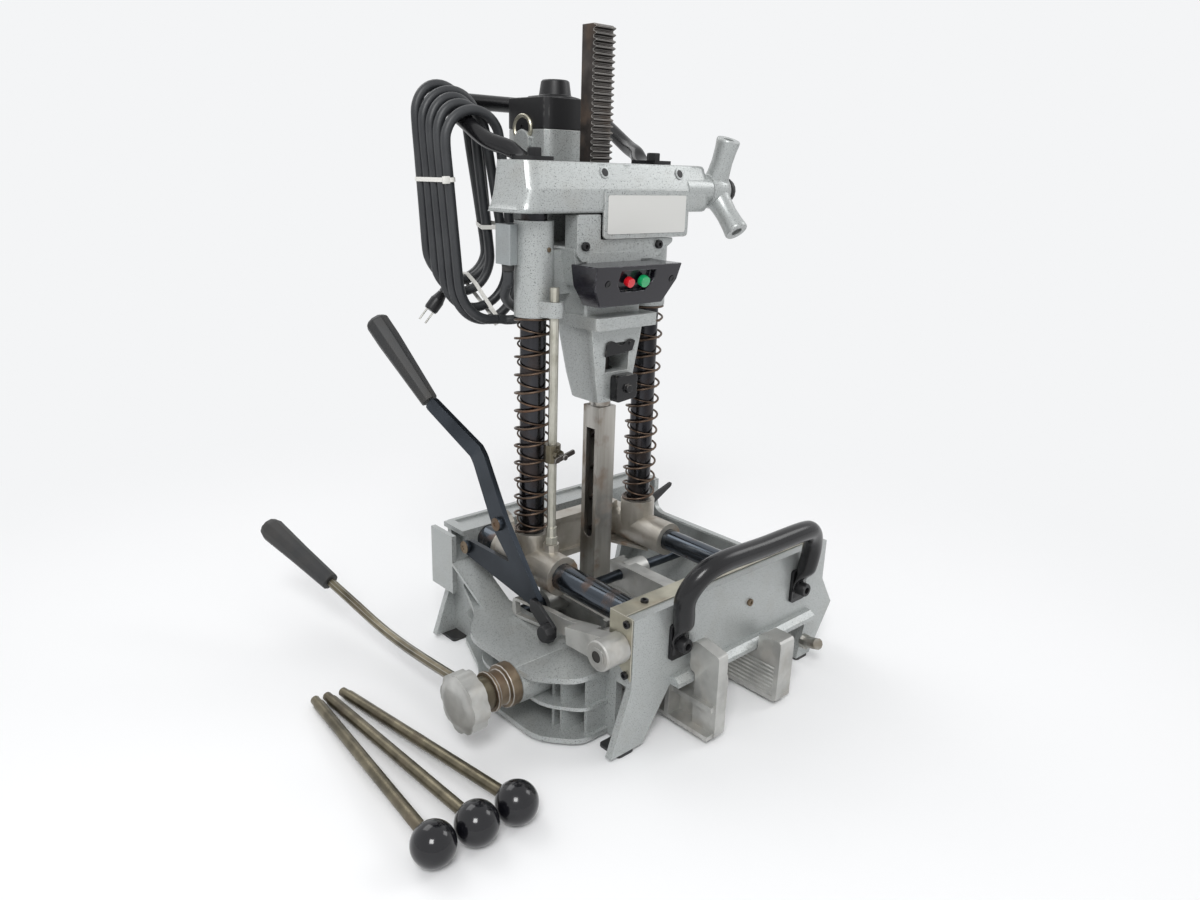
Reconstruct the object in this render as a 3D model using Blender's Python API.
# Benchtop chisel mortiser: a cast base with a vise, a carriage that slides on two bars,
# two columns with a fixed crosshead, and a motor head that a rack and pinion pulls down.
# Metres, +Z up, +X to the right along the front wall, +Y to the rear along the bars.

import math

import bmesh
import bpy
from mathutils import Matrix, Vector

for existing in list(bpy.data.objects):
    bpy.data.objects.remove(existing, do_unlink=True)

# Fits
GAP = 0.0003
RUNNING_GAP = 0.0004
CUT_OVERRUN = 0.002
FUSE = 0.0012
MERGE = 0.000001
PLANAR_ANGLE = math.radians(0.05)
SHARP_ANGLE = math.radians(35)
ROUND_SIDES = 16
FINE_SIDES = 10

# Base casting
BASE_LEFT = -0.114
BASE_RIGHT = 0.205
BASE_FRONT = -0.200
BASE_REAR = 0.128
BASE_HEIGHT = 0.150
BASE_WALL = 0.008
FLANGE = 0.006
RIB = 0.004
CHANNEL_DEPTH = 0.034
CHANNEL_DROP = 0.046
REAR_SHELF_DEPTH = 0.042
ARCH_HEIGHT = 0.059
ARCH_LEFT = -0.058
ARCH_RIGHT = 0.178
FOOT_PAD = 0.004
FOOT_LENGTH = 0.030
FOOT_WIDTH = 0.022
LEG_FLARE = 0.025
LEG_WIDTH = 0.044
LEG_BEND_HEIGHT = 0.074
RIGHT_BULGE = 0.024
RIGHT_BULGE_HEIGHT = 0.062
RIGHT_SHOULDER_HEIGHT = 0.100
RIGHT_FOOT_INSET = 0.012
RIGHT_FOOT_WIDTH = 0.026
RAIL_HEIGHT = 0.010
RAIL_PROUD = 0.012
FENDER_TOP = 0.082
FENDER_REACH = 0.071
FENDER_SHELF = 0.044
FENDER_FOOT = 0.064
FENDER_BACK = -0.102
FENDER_NOSE = -0.163
SKIRT_SHELF_HEIGHT = 0.118
POCKET_DEPTH = 0.003

# Bars and their bosses
BAR_HEIGHT = 0.134
LEFT_BAR = 0.030
RIGHT_BAR = 0.026
BAR_SEAT = 0.004
BAR_SEAT_DEPTH = 0.010

# Columns and springs
COLUMN_SPACING = 0.168
COLUMN = 0.028
SOCKET_TOP = 0.172
SOCKET_WALL = 0.007
OUTER_SPRING_MEAN = 0.019
OUTER_SPRING_WIRE = 0.0013
INNER_SPRING_MEAN = 0.0162
INNER_SPRING_WIRE = 0.0010
OUTER_SPRING_TURNS = 11
INNER_SPRING_TURNS = 8
SPRING_POINTS = 8

# Carriage
BUSHING_FRONT = -0.056
BUSHING_REAR = 0.050
BUSHING_WALL = 0.0075
BRIDGE_DEPTH = 0.010
BRIDGE_TOP = 0.160
BRIDGE_BOTTOM = 0.112
BRIDGE_RAIL = 0.016
ROD_BOSS = 0.009
GUSSET = 0.022
LEVER_BOSS = 0.013

# Depth rod, its stop collar and the wing screw
DEPTH_ROD = 0.010
DEPTH_ROD_X = -0.080
DEPTH_ROD_Y = -0.030
DEPTH_ROD_TOP = 0.447
DEPTH_NUT = 0.015
DEPTH_NUT_HEIGHT = 0.008
COLLAR_HEIGHT = 0.270
COLLAR_LENGTH = 0.020
COLLAR = 0.018
WING_SCREW = 0.006
WING_REACH = 0.016

# Crosshead
CROSSHEAD_TOP = 0.5695
CROSSHEAD_BAND = 0.543
CROSSHEAD_LIP = 0.520
CROSSHEAD_HALF = 0.114
CROSSHEAD_FLARE = 0.012
CROSSHEAD_FRONT = -0.026
CROSSHEAD_LEAN = 0.009
CROSSHEAD_REAR = 0.030
APRON_LEFT = -0.010
APRON_RIGHT = 0.078
APRON_BOTTOM = 0.494
APRON_DEPTH = 0.012

# Rack, pinion and hub
MODULE = 0.002
PINION_TEETH = 12
PINION_SHAFT = 0.009
PINION_Y = -0.019
PINION_HEIGHT = 0.543
PINION_WIDTH = 0.024
RACK_WIDTH = 0.027
RACK_DEPTH = 0.022
RACK_TOP = 0.703
RACK_FOOT = 0.470
TOOTH_BACKLASH = 0.0003
SHAFT = 0.014
HUB_ARM_LENGTH = 0.060
HUB_ARM = 0.024
HUB_X = 0.150
HUB_LENGTH = 0.034
HUB_BODY = 0.034
HUB_CAP = 0.030
HUB_FIRST_ARM = math.radians(72)

# Motor head
SLEEVE = 0.041
SLEEVE_BOTTOM = 0.4145
SLEEVE_TOP = 0.512
GEARBOX_HALF = 0.056
GEARBOX_FRONT = -0.030
GEARBOX_REAR = 0.090
GEARBOX_TOP = 0.486
GEARBOX_BOTTOM = 0.440
SEAT_HALF = 0.027
EAR_HEIGHT = 0.016
EAR_RADIUS = 0.010
HEAD_TRAVEL = 0.120
NECK_TOP = 0.440
NECK_BOTTOM = 0.414
NECK_HALF = 0.037
NECK_REAR = 0.030
PLATE_FRONT = -0.058
SPINDLE_TOP = 0.432
PLATE_THICKNESS = 0.012
HOLDER_TOP = 0.402
HOLDER_BOTTOM = 0.318
HOLDER_TOP_HALF = 0.040
HOLDER_BOTTOM_HALF = 0.024
HOLDER_FRONT = -0.043
HOLDER_REAR = 0.018
WINDOW_WIDTH = 0.034
WINDOW_TOP = 0.384
WINDOW_BOTTOM = 0.352

# Motor
MOTOR_HALF = 0.036
MOTOR_FRONT = 0.036
MOTOR_REAR = 0.108
MOTOR_TOP = 0.602
MOTOR_CAP_TOP = 0.634
MOTOR_CONE_TOP = 0.654
MOTOR_CONE = 0.054
BRUSH_BOSS = 0.026
TERMINAL_BOX = 0.025
GLAND = 0.013
GLAND_LENGTH = 0.007
TERMINAL_LEFT = -0.117
TERMINAL_TOP = 0.508
TERMINAL_BOTTOM = 0.468
TERMINAL_FRONT = -0.003

# Switch box
SWITCH_HALF_TOP = 0.0595
SWITCH_HALF_BOTTOM = 0.046
SWITCH_FRONT = -0.075
SWITCH_BACK = -0.034
SWITCH_TOP = 0.470
SWITCH_BOTTOM = 0.427
SWITCH_LEAN = 0.014
SWITCH_WALL = 0.003
BUTTON = 0.008
BUTTON_SPACING = 0.018
BUTTON_PROUD = 0.005
BUTTON_TRAVEL = 0.002
BUTTON_HEIGHT = 0.449
BUTTON_X = 0.002

# Chisel, auger, clamp block and shutter
CHISEL = 0.026
CHISEL_X = 0.0
CHISEL_Y = -0.016
CHISEL_WALL = 0.0022
CHISEL_TIP = 0.100
CHISEL_TOP = 0.309
CHISEL_SLOT = 0.014
CHISEL_SLOT_LOW = 0.150
CHISEL_SHANK = 0.024
AUGER = 0.019
AUGER_CORE = 0.006
AUGER_TURNS = 5
AUGER_TIP = 0.096
AUGER_SHANK_TOP = 0.396
CLAMP_BLOCK = 0.030
CLAMP_BLOCK_DEPTH = 0.012
CLAMP_BLOCK_X = 0.006
CLAMP_BLOCK_HEIGHT = 0.334
CLAMP_BOLT = 0.010
SHUTTER_THICKNESS = 0.0015
SHUTTER_HEIGHT = 0.388
SHUTTER_X = 0.020

# Feed lever and slotted arm
LEVER_X = -0.124
LEVER_THICKNESS = 0.006
LEVER_PIVOT_Y = 0.0035
LEVER_PIVOT_HEIGHT = 0.1886
LEVER_WIDTH = 0.022
GRIP_WIDTH = 0.028
GRIP_NECK = 0.020
ARM_PIVOT_Y = -0.183
ARM_PIVOT_HEIGHT = 0.116
ARM_BOSS = 0.032
ARM_BOSS_LEFT = -0.146
ARM_THICKNESS = 0.007
ARM_X = -0.115
ARM_WIDTH = 0.022
ARM_REACH = 0.170
ARM_TILT = math.radians(-8.0)
SLOT_LENGTH = 0.046
SLOT_HEIGHT = 0.016
CATCH_KNOB = 0.022
LEVER_BEND_Y = 0.039
LEVER_BEND_RISE = 0.060
GRIP_BASE_Y = 0.0970
GRIP_BASE_RISE = 0.121
GRIP_BASE_OUT = 0.026
GRIP_TIP_Y = 0.1740
GRIP_TIP_RISE = 0.2045
GRIP_TIP_OUT = 0.048
LEVER_TAIL_Y = 0.068
LEVER_TAIL_DROP = 0.072
LEVER_HEEL_Y = 0.0626
LEVER_HEEL_DROP = 0.049
LEVER_SCREW = 0.016

# Vise
JAW_FRONT = -0.244
JAW_REAR = 0.034
JAW_FOOT = 0.0055
JAW_TOP = 0.080
JAW_THROAT_LEFT = -0.019
JAW_THROAT_RIGHT = 0.0686
JAW_PLATE = 0.008
JAW_RIB = 0.018
JAW_POST = 0.0165
JAW_GROOVES = 9
JAW_GROOVE_DEPTH = 0.0012
JAW_HOOK_TOP = 0.106
JAW_CLEAR = 0.0015
SCREW_Y = -0.096
SCREW_HEIGHT = 0.061
SCREW = 0.016
SCREW_LEFT = -0.258
SCREW_RIGHT = -0.031
SCREW_PITCH = 0.005
NUT_SLEEVE = 0.027
NUT_SLEEVE_LENGTH = 0.062
BUSH_OUTER = 0.046
BUSH_LENGTH = 0.040
KNOB = 0.062
KNOB_LENGTH = 0.026
KNOB_LOBES = 8
CLAMP_RING = 0.034
CLAMP_RING_LENGTH = 0.012
CLAMP_BAR = 0.011
CLAMP_ROUTE = [(0, 0.060, -0.006), (-0.001, 0.140, -0.011), (-0.002, 0.200, -0.010), (-0.010, 0.245, 0.004),
               (-0.020, 0.285, 0.020)]
CLAMP_GRIP = 0.030
CLAMP_GRIP_LENGTH = 0.120
GUIDE_ROD = 0.014
GUIDE_ROD_Y = 0.012
GUIDE_ROD_HEIGHT = 0.066
GUIDE_BOSS = 0.030

# Carry handles
FRONT_TUBE = 0.022
FRONT_FOOT_LEFT = -0.051
FRONT_FOOT_RIGHT = 0.151
FRONT_FOOT_HEIGHT = 0.106
FRONT_ROUTE = [(-0.052, -0.212, 0.118), (-0.057, -0.2125, 0.140), (-0.060, -0.216, 0.164), (-0.048, -0.222, 0.185),
               (-0.022, -0.226, 0.195), (0.045, -0.226, 0.1935), (0.112, -0.226, 0.193), (0.135, -0.223, 0.186),
               (0.148, -0.218, 0.167), (0.151, -0.2135, 0.142), (0.150, -0.212, 0.120)]
REAR_TUBE = 0.017
REAR_HANDLE_BACK = 0.142
REAR_HANDLE_RISE = 0.630
REAR_ARM_FOOT = (-0.1005, 0.060, 0.5895)
REAR_ARM_TOP = (-0.1075, 0.126, 0.6255)
TAB_THICKNESS = 0.004
TAB_WIDTH = 0.026
TAB_LENGTH = 0.034
BOLT_HEAD = 0.016

# Zinc cover strip
STRIP_THICKNESS = 0.0015
STRIP_DEPTH = 0.022
STRIP_LEG_FRONT = -0.199
STRIP_LEG_REAR = -0.167

# Loose hub rods with ball knobs, laid in front on the left
ROD = 0.012
ROD_LENGTH = 0.262
BALL = 0.040
ROD_BALLS = [(-0.3425, -0.201), (-0.3005, -0.2035), (-0.2580, -0.2045)]
ROD_FAR_ENDS = [(-0.318, 0.070), (-0.304, 0.0695), (-0.2865, 0.0695)]

# Power cord: a lead from the gland to a coil that hangs on the rear handle
CORD = 0.0105
COIL_LOOPS = 5
COIL_POINTS = 24
COIL_TURN = math.radians(-10)
COIL_LEAN = math.radians(6)
COIL_SHARE = 0.66
COIL_TOP_RADIUS = 0.032
COIL_BOTTOM_RADIUS = 0.038
COIL_DROP = 0.142
COIL_FAN = 0.12
COIL_STEP_SHARE = 1.10
COIL_SLACK = 0.0024
LEAD_ROUTE = [(-0.0710, 0.0628, 0.4000), (-0.0640, 0.0540, 0.4020), (-0.0670, 0.0430, 0.4090),
              (-0.0790, 0.0355, 0.4170), (-0.0940, 0.0300, 0.4250), (-0.1050, 0.0215, 0.4350),
              (-0.1095, 0.0120, 0.4460)]
PLUG_LENGTH = 0.024
PLUG_WIDTH = 0.016
PLUG_TAIL = 0.012
PLUG_DROOP = 0.7

# Small pieces on the base and the carriage
STUB_FOOT = (0.1770, -0.2040, 0.0255)
STUB_END = (0.1700, -0.226, 0.0345)
LOCK_SPOT = (0.1041, 0.020, 0.146)
LOCK_TIP = (0.165, 0.020, 0.170)
LOCK_STUD = 0.012
CATCH_SPOT = (-0.0930, 0.0985)


# Shape helpers

AXES = {"X": Vector((1, 0, 0)), "Y": Vector((0, 1, 0)), "Z": Vector((0, 0, 1))}


def point_on(axis, a, b, t):
    return {"X": (t, a, b), "Y": (a, t, b), "Z": (a, b, t)}[axis]


def object_from(bm):
    bmesh.ops.recalc_face_normals(bm, faces=bm.faces)
    mesh = bpy.data.meshes.new("shape")
    bm.to_mesh(mesh)
    bm.free()
    item = bpy.data.objects.new("shape", mesh)
    bpy.context.scene.collection.objects.link(item)
    return item


def prism(outline, axis, low, high):
    bm = bmesh.new()
    face = bm.faces.new([bm.verts.new(point_on(axis, a, b, low)) for a, b in outline])
    grown = bmesh.ops.extrude_face_region(bm, geom=[face])["geom"]
    moved = [v for v in grown if isinstance(v, bmesh.types.BMVert)]
    bmesh.ops.translate(bm, verts=moved, vec=AXES[axis] * (high - low))
    return object_from(bm)


def block(x0, x1, y0, y1, z0, z1):
    return prism([(x0, y0), (x1, y0), (x1, y1), (x0, y1)], "Z", z0, z1)


def arc(centre, radius, start, end, steps):
    """Points on an arc, from start to end in radians."""
    turn = (end - start) / steps
    return [
        (centre[0] + radius * math.cos(start + turn * i), centre[1] + radius * math.sin(start + turn * i))
        for i in range(steps + 1)
    ]


def rounded(outline, radius, steps=3):
    """The outline with each corner replaced by an arc-like curve of the given reach."""
    points = []
    count = len(outline)
    for i, corner in enumerate(outline):
        here = Vector(corner)
        before = Vector(outline[i - 1]) - here
        after = Vector(outline[(i + 1) % count]) - here
        reach = min(radius, before.length / 2.2, after.length / 2.2)
        start = here + before.normalized() * reach
        end = here + after.normalized() * reach
        for k in range(steps + 1):
            t = k / steps
            points.append(tuple(start * (1 - t) ** 2 + here * 2 * t * (1 - t) + end * t ** 2))
    return points


def turned(profile, axis, centre, sides=ROUND_SIDES):
    """A solid of revolution: the profile holds (radius, place along the axis)."""
    bm = bmesh.new()
    points = [bm.verts.new((radius, 0, along)) for radius, along in profile]
    pairs = list(zip(points, points[1:]))
    if profile[0][0] > 0 or profile[-1][0] > 0:
        pairs.append((points[-1], points[0]))
    edges = [bm.edges.new(pair) for pair in pairs]
    bmesh.ops.spin(
        bm, geom=points + edges, cent=(0, 0, 0), axis=(0, 0, 1),
        angle=math.tau, steps=sides, use_merge=True, use_duplicate=False,
    )
    bmesh.ops.remove_doubles(bm, verts=bm.verts, dist=MERGE)
    turn = Vector((0, 0, 1)).rotation_difference(AXES[axis]).to_matrix()
    bmesh.ops.rotate(bm, verts=bm.verts, cent=(0, 0, 0), matrix=turn)
    bmesh.ops.translate(bm, verts=bm.verts, vec=point_on(axis, centre[0], centre[1], 0))
    return object_from(bm)


def rod(radius, axis, centre, low, high, sides=ROUND_SIDES):
    return turned([(0, low), (radius, low), (radius, high), (0, high)], axis, centre, sides)


def ring(inner, outer, axis, centre, low, high, sides=ROUND_SIDES):
    return turned([(inner, low), (outer, low), (outer, high), (inner, high)], axis, centre, sides)


def smooth_path(points, steps):
    """Catmull-Rom points through the given ones."""
    nodes = [Vector(p) for p in points]
    nodes = [nodes[0] * 2 - nodes[1]] + nodes + [nodes[-1] * 2 - nodes[-2]]
    path = []
    for i in range(1, len(nodes) - 2):
        a, b, c, d = nodes[i - 1], nodes[i], nodes[i + 1], nodes[i + 2]
        for k in range(steps):
            t = k / steps
            path.append(0.5 * (2 * b + (c - a) * t + (2 * a - 5 * b + 4 * c - d) * t ** 2
                               + (3 * b - a - 3 * c + d) * t ** 3))
    path.append(nodes[-2])
    return path


def tube_curve(points, radius, resolution):
    data = bpy.data.curves.new("tube", "CURVE")
    data.dimensions = "3D"
    data.bevel_depth = radius
    data.bevel_resolution = resolution
    data.use_fill_caps = True
    spline = data.splines.new("POLY")
    spline.points.add(len(points) - 1)
    for place, point in zip(spline.points, points):
        place.co = (*point, 1)
    item = bpy.data.objects.new("tube", data)
    bpy.context.scene.collection.objects.link(item)
    return item


def as_mesh(item):
    graph = bpy.context.evaluated_depsgraph_get()
    mesh = bpy.data.meshes.new_from_object(item.evaluated_get(graph))
    solid = bpy.data.objects.new("shape", mesh)
    bpy.context.scene.collection.objects.link(solid)
    bpy.data.objects.remove(item)
    return solid


def tube(points, radius, resolution=4):
    return as_mesh(tube_curve(points, radius, resolution))


def settle(item):
    """Applies the modifiers and joins faces that lie in one plane."""
    graph = bpy.context.evaluated_depsgraph_get()
    mesh = bpy.data.meshes.new_from_object(item.evaluated_get(graph))
    item.modifiers.clear()
    item.data = mesh
    bm = bmesh.new()
    bm.from_mesh(mesh)
    bmesh.ops.remove_doubles(bm, verts=bm.verts, dist=MERGE)
    bmesh.ops.dissolve_limit(bm, angle_limit=PLANAR_ANGLE, verts=bm.verts, edges=bm.edges)
    bm.to_mesh(mesh)
    bm.free()


def boolean(target, others, operation):
    for other in others:
        modifier = target.modifiers.new("form", "BOOLEAN")
        modifier.solver = "EXACT"
        modifier.operation = operation
        modifier.object = other
        settle(target)
        bpy.data.objects.remove(other)
    return target


def fused(target, *others):
    return boolean(target, others, "UNION")


def cut(target, *others):
    return boolean(target, others, "DIFFERENCE")


def moved(item, matrix):
    item.data.transform(matrix)
    return item


def softened(item, width, angle=50):
    modifier = item.modifiers.new("edge", "BEVEL")
    modifier.width = width
    modifier.segments = 1
    modifier.limit_method = "ANGLE"
    modifier.angle_limit = math.radians(angle)
    settle(item)
    return item


def named(item, name, colour, roughness, metallic, origin=(0, 0, 0)):
    """Gives a finished solid its name, its material and its origin."""
    item.name = name
    item.data.name = name
    material = bpy.data.materials.new(name)
    material.use_nodes = True
    shader = material.node_tree.nodes["Principled BSDF"]
    shader.inputs["Base Color"].default_value = (*colour, 1)
    shader.inputs["Roughness"].default_value = roughness
    shader.inputs["Metallic"].default_value = metallic
    item.data.materials.clear()
    item.data.materials.append(material)
    if item.type == "MESH":
        item.data.transform(Matrix.Translation(-Vector(origin)))
        item.location = origin
        item.data.shade_smooth()
        item.data.set_sharp_from_angle(angle=SHARP_ANGLE)
    return item


GREY_PAINT = (0.45, 0.49, 0.49)
RAW_CASTING = (0.50, 0.47, 0.42)
BLACK_PAINT = (0.02, 0.02, 0.022)
DARK_STEEL = (0.06, 0.06, 0.07)
BRIGHT_STEEL = (0.55, 0.55, 0.53)
OLIVE_ZINC = (0.24, 0.21, 0.15)
ALUMINIUM = (0.62, 0.62, 0.61)
RUBBER = (0.03, 0.03, 0.032)

HALF = COLUMN_SPACING / 2
BARS = [(-HALF, LEFT_BAR / 2), (HALF, RIGHT_BAR / 2)]


# Base


def base_casting():
    inside_front = BASE_FRONT + CHANNEL_DEPTH
    rear_front = BASE_REAR - REAR_SHELF_DEPTH
    # Front and rear walls share one outline: two legs with the work arch between them.
    left_leg = BASE_LEFT - LEG_FLARE
    right_foot = BASE_RIGHT - RIGHT_FOOT_INSET
    outline = [
        (BASE_LEFT, BASE_HEIGHT), (BASE_RIGHT, BASE_HEIGHT), (BASE_RIGHT, RIGHT_SHOULDER_HEIGHT),
        (BASE_RIGHT + RIGHT_BULGE, RIGHT_BULGE_HEIGHT), (right_foot, FOOT_PAD),
        (right_foot - RIGHT_FOOT_WIDTH, FOOT_PAD), (ARCH_RIGHT, ARCH_HEIGHT - CUT_OVERRUN * 4),
        (ARCH_RIGHT, ARCH_HEIGHT), (ARCH_LEFT, ARCH_HEIGHT),
        (left_leg + LEG_WIDTH, FOOT_PAD), (left_leg, FOOT_PAD), (BASE_LEFT, LEG_BEND_HEIGHT),
    ]
    shape = prism(outline, "Y", BASE_FRONT, BASE_FRONT + BASE_WALL)
    parts = [prism(outline, "Y", BASE_REAR - BASE_WALL, BASE_REAR)]
    # Top channels: a flange over each wall with a lip that hangs inside
    lip_bottom = BASE_HEIGHT - CHANNEL_DROP
    parts.append(block(BASE_LEFT, BASE_RIGHT, BASE_FRONT + FUSE, inside_front,
                       BASE_HEIGHT - FLANGE, BASE_HEIGHT))
    parts.append(block(BASE_LEFT, BASE_RIGHT, inside_front - BASE_WALL, inside_front,
                       lip_bottom, BASE_HEIGHT - FUSE))
    parts.append(block(BASE_LEFT - FLANGE, BASE_RIGHT, rear_front, BASE_REAR - FUSE,
                       BASE_HEIGHT - FLANGE, BASE_HEIGHT))
    parts.append(block(BASE_LEFT, BASE_RIGHT, rear_front, rear_front + BASE_WALL,
                       lip_bottom, BASE_HEIGHT - FUSE))
    # Left end of the front channel, and the round bosses that hold the bars
    parts.append(block(BASE_LEFT, BASE_LEFT + FLANGE, BASE_FRONT + FUSE, inside_front - FUSE,
                       LEG_BEND_HEIGHT, BASE_HEIGHT - FUSE))
    for x, radius in BARS:
        height = BASE_HEIGHT - FLANGE - radius - BAR_SEAT + FUSE
        parts.append(rod(radius + BAR_SEAT, "Y", (x, height), BASE_FRONT + FUSE, inside_front - FUSE, FINE_SIDES))
        parts.append(rod(radius + BAR_SEAT, "Y", (x, height), rear_front + FUSE, BASE_REAR - FUSE, FINE_SIDES))
    # Right side: a thin folded wall, straight from front to rear
    section = [
        (BASE_RIGHT, BASE_HEIGHT - FUSE), (BASE_RIGHT, RIGHT_SHOULDER_HEIGHT),
        (BASE_RIGHT + RIGHT_BULGE, RIGHT_BULGE_HEIGHT), (right_foot, FOOT_PAD),
        (right_foot - BASE_WALL, FOOT_PAD), (BASE_RIGHT + RIGHT_BULGE - BASE_WALL, RIGHT_BULGE_HEIGHT),
        (BASE_RIGHT - BASE_WALL, RIGHT_SHOULDER_HEIGHT), (BASE_RIGHT - BASE_WALL, BASE_HEIGHT - FUSE),
    ]
    parts.append(prism(section, "Y", BASE_FRONT + FUSE, BASE_REAR - FUSE))
    # Left side: an open fender of skin, middle shelf, bottom flange and ribs on an inner wall
    reach = BASE_LEFT - FENDER_REACH
    skin = rounded([
        (FENDER_BACK, FENDER_NOSE), (BASE_LEFT - FLANGE, FENDER_NOSE),
        (BASE_LEFT - FENDER_REACH / 2, FENDER_NOSE), (reach, FENDER_NOSE + FENDER_REACH / 2),
        (reach, FENDER_NOSE + FENDER_REACH * 2), (BASE_LEFT - FENDER_REACH / 2, 0.018),
        (BASE_LEFT - FLANGE, rear_front + CUT_OVERRUN), (FENDER_BACK, rear_front + CUT_OVERRUN),
    ], 0.018)
    parts.append(prism(skin, "Z", FENDER_TOP - FLANGE, FENDER_TOP))
    shelf = [(FENDER_BACK + (x - FENDER_BACK) * 0.80, y) for x, y in skin]
    parts.append(prism(shelf, "Z", FENDER_SHELF - RIB, FENDER_SHELF))
    foot_share = FENDER_FOOT / FENDER_REACH
    foot = [(FENDER_BACK + (x - FENDER_BACK) * foot_share, y) for x, y in skin]
    parts.append(prism(foot, "Z", FOOT_PAD, FOOT_PAD + FLANGE))
    parts.append(block(FENDER_BACK - BASE_WALL, FENDER_BACK, inside_front - BASE_WALL,
                       BASE_REAR - FUSE, FOOT_PAD, FENDER_TOP - FUSE))
    for y in (FENDER_NOSE + RIB, FENDER_NOSE + RIB * 6, SCREW_Y - 0.030, SCREW_Y + 0.038, SCREW_Y + 0.080):
        edge = BASE_LEFT - FENDER_REACH * (0.30 if y < FENDER_NOSE + RIB * 5 else 0.52)
        parts.append(block(edge, FENDER_BACK - FUSE, y, y + RIB, FOOT_PAD + FUSE, FENDER_TOP - FUSE))
    parts.append(rod(BUSH_OUTER / 2, "X", (SCREW_Y, SCREW_HEIGHT), reach, FENDER_BACK - FUSE))
    # Rear left corner: a shelf, and a sloping panel down to the skin
    corner = [
        (BASE_LEFT - FLANGE * 4, rear_front - RIB), (FENDER_BACK, rear_front - RIB),
        (FENDER_BACK, BASE_REAR - FUSE), (BASE_LEFT - FLANGE * 4, BASE_REAR - FUSE),
    ]
    parts.append(prism(corner, "Z", SKIRT_SHELF_HEIGHT - RIB, SKIRT_SHELF_HEIGHT))
    slope = [
        (0.018, FENDER_TOP - RIB), (rear_front, SKIRT_SHELF_HEIGHT - RIB),
        (rear_front, SKIRT_SHELF_HEIGHT), (0.018, FENDER_TOP),
    ]
    parts.append(prism(slope, "X", BASE_LEFT - FLANGE * 4, FENDER_BACK))
    parts.append(block(BASE_LEFT - FLANGE * 4, BASE_LEFT - FLANGE * 3, rear_front - RIB,
                       BASE_REAR - FUSE, FENDER_TOP - FLANGE, BASE_HEIGHT - FUSE))
    # Work rail over the front arch
    rail = [
        (BASE_FRONT + FUSE, ARCH_HEIGHT), (BASE_FRONT - RAIL_PROUD, ARCH_HEIGHT),
        (BASE_FRONT - RAIL_PROUD, ARCH_HEIGHT + RAIL_HEIGHT / 2),
        (BASE_FRONT - RAIL_PROUD / 2, ARCH_HEIGHT + RAIL_HEIGHT), (BASE_FRONT + FUSE, ARCH_HEIGHT + RAIL_HEIGHT),
    ]
    parts.append(prism(rail, "X", ARCH_LEFT, ARCH_RIGHT))
    shape = fused(shape, *parts)
    # Bores for the bars, the screw bushing and the jaw guide rod; pockets in the rear flange
    cutters = []
    for x, radius in BARS:
        cutters.append(rod(radius + GAP, "Y", (x, BAR_HEIGHT), inside_front - BAR_SEAT_DEPTH,
                           rear_front + BAR_SEAT_DEPTH, ROUND_SIDES))
    cutters.append(rod(SCREW / 2 + JAW_CLEAR, "X", (SCREW_Y, SCREW_HEIGHT), reach - CUT_OVERRUN,
                       FENDER_BACK + CUT_OVERRUN, FINE_SIDES))
    cutters.append(rod(GUIDE_ROD / 2 + GAP, "X", (GUIDE_ROD_Y, GUIDE_ROD_HEIGHT),
                       FENDER_BACK - BASE_WALL / 2, FENDER_BACK + CUT_OVERRUN, FINE_SIDES))
    pocket = (BASE_RIGHT - BASE_LEFT) / 3
    for i in range(3):
        x = BASE_LEFT + pocket * i
        cutters.append(block(x + FLANGE, x + pocket - FLANGE, rear_front + BAR_SEAT_DEPTH + RIB, BASE_REAR - FLANGE,
                             BASE_HEIGHT - POCKET_DEPTH, BASE_HEIGHT + CUT_OVERRUN))
    shape = cut(shape, *cutters)
    return named(shape, "base_casting", GREY_PAINT, 0.45, 0.3)


def base_fittings():
    left_leg = BASE_LEFT - LEG_FLARE
    right_foot = BASE_RIGHT - RIGHT_FOOT_INSET
    spots = {
        "foot_front_left": (left_leg + LEG_WIDTH / 2, BASE_FRONT + FOOT_LENGTH / 2),
        "foot_front_right": (right_foot - RIGHT_FOOT_WIDTH / 2, BASE_FRONT + FOOT_LENGTH / 2),
        "foot_rear_left": (left_leg + LEG_WIDTH / 2, BASE_REAR - FOOT_LENGTH / 2),
        "foot_rear_right": (right_foot - RIGHT_FOOT_WIDTH / 2, BASE_REAR - FOOT_LENGTH / 2),
    }
    for name, (x, y) in spots.items():
        outline = rounded([
            (x - FOOT_WIDTH / 2, y - FOOT_LENGTH / 2), (x + FOOT_WIDTH / 2, y - FOOT_LENGTH / 2),
            (x + FOOT_WIDTH / 2, y + FOOT_LENGTH / 2), (x - FOOT_WIDTH / 2, y + FOOT_LENGTH / 2),
        ], RIB)
        named(prism(outline, "Z", 0, FOOT_PAD - GAP), name, RUBBER, 0.8, 0.0)
    for name, (x, radius) in zip(("left_bar", "right_bar"), BARS):
        bar = rod(radius, "Y", (x, BAR_HEIGHT), BASE_FRONT + CHANNEL_DEPTH - BAR_SEAT_DEPTH + GAP,
                  BASE_REAR - REAR_SHELF_DEPTH + BAR_SEAT_DEPTH - GAP)
        named(bar, name, DARK_STEEL, 0.3, 0.9)




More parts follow.
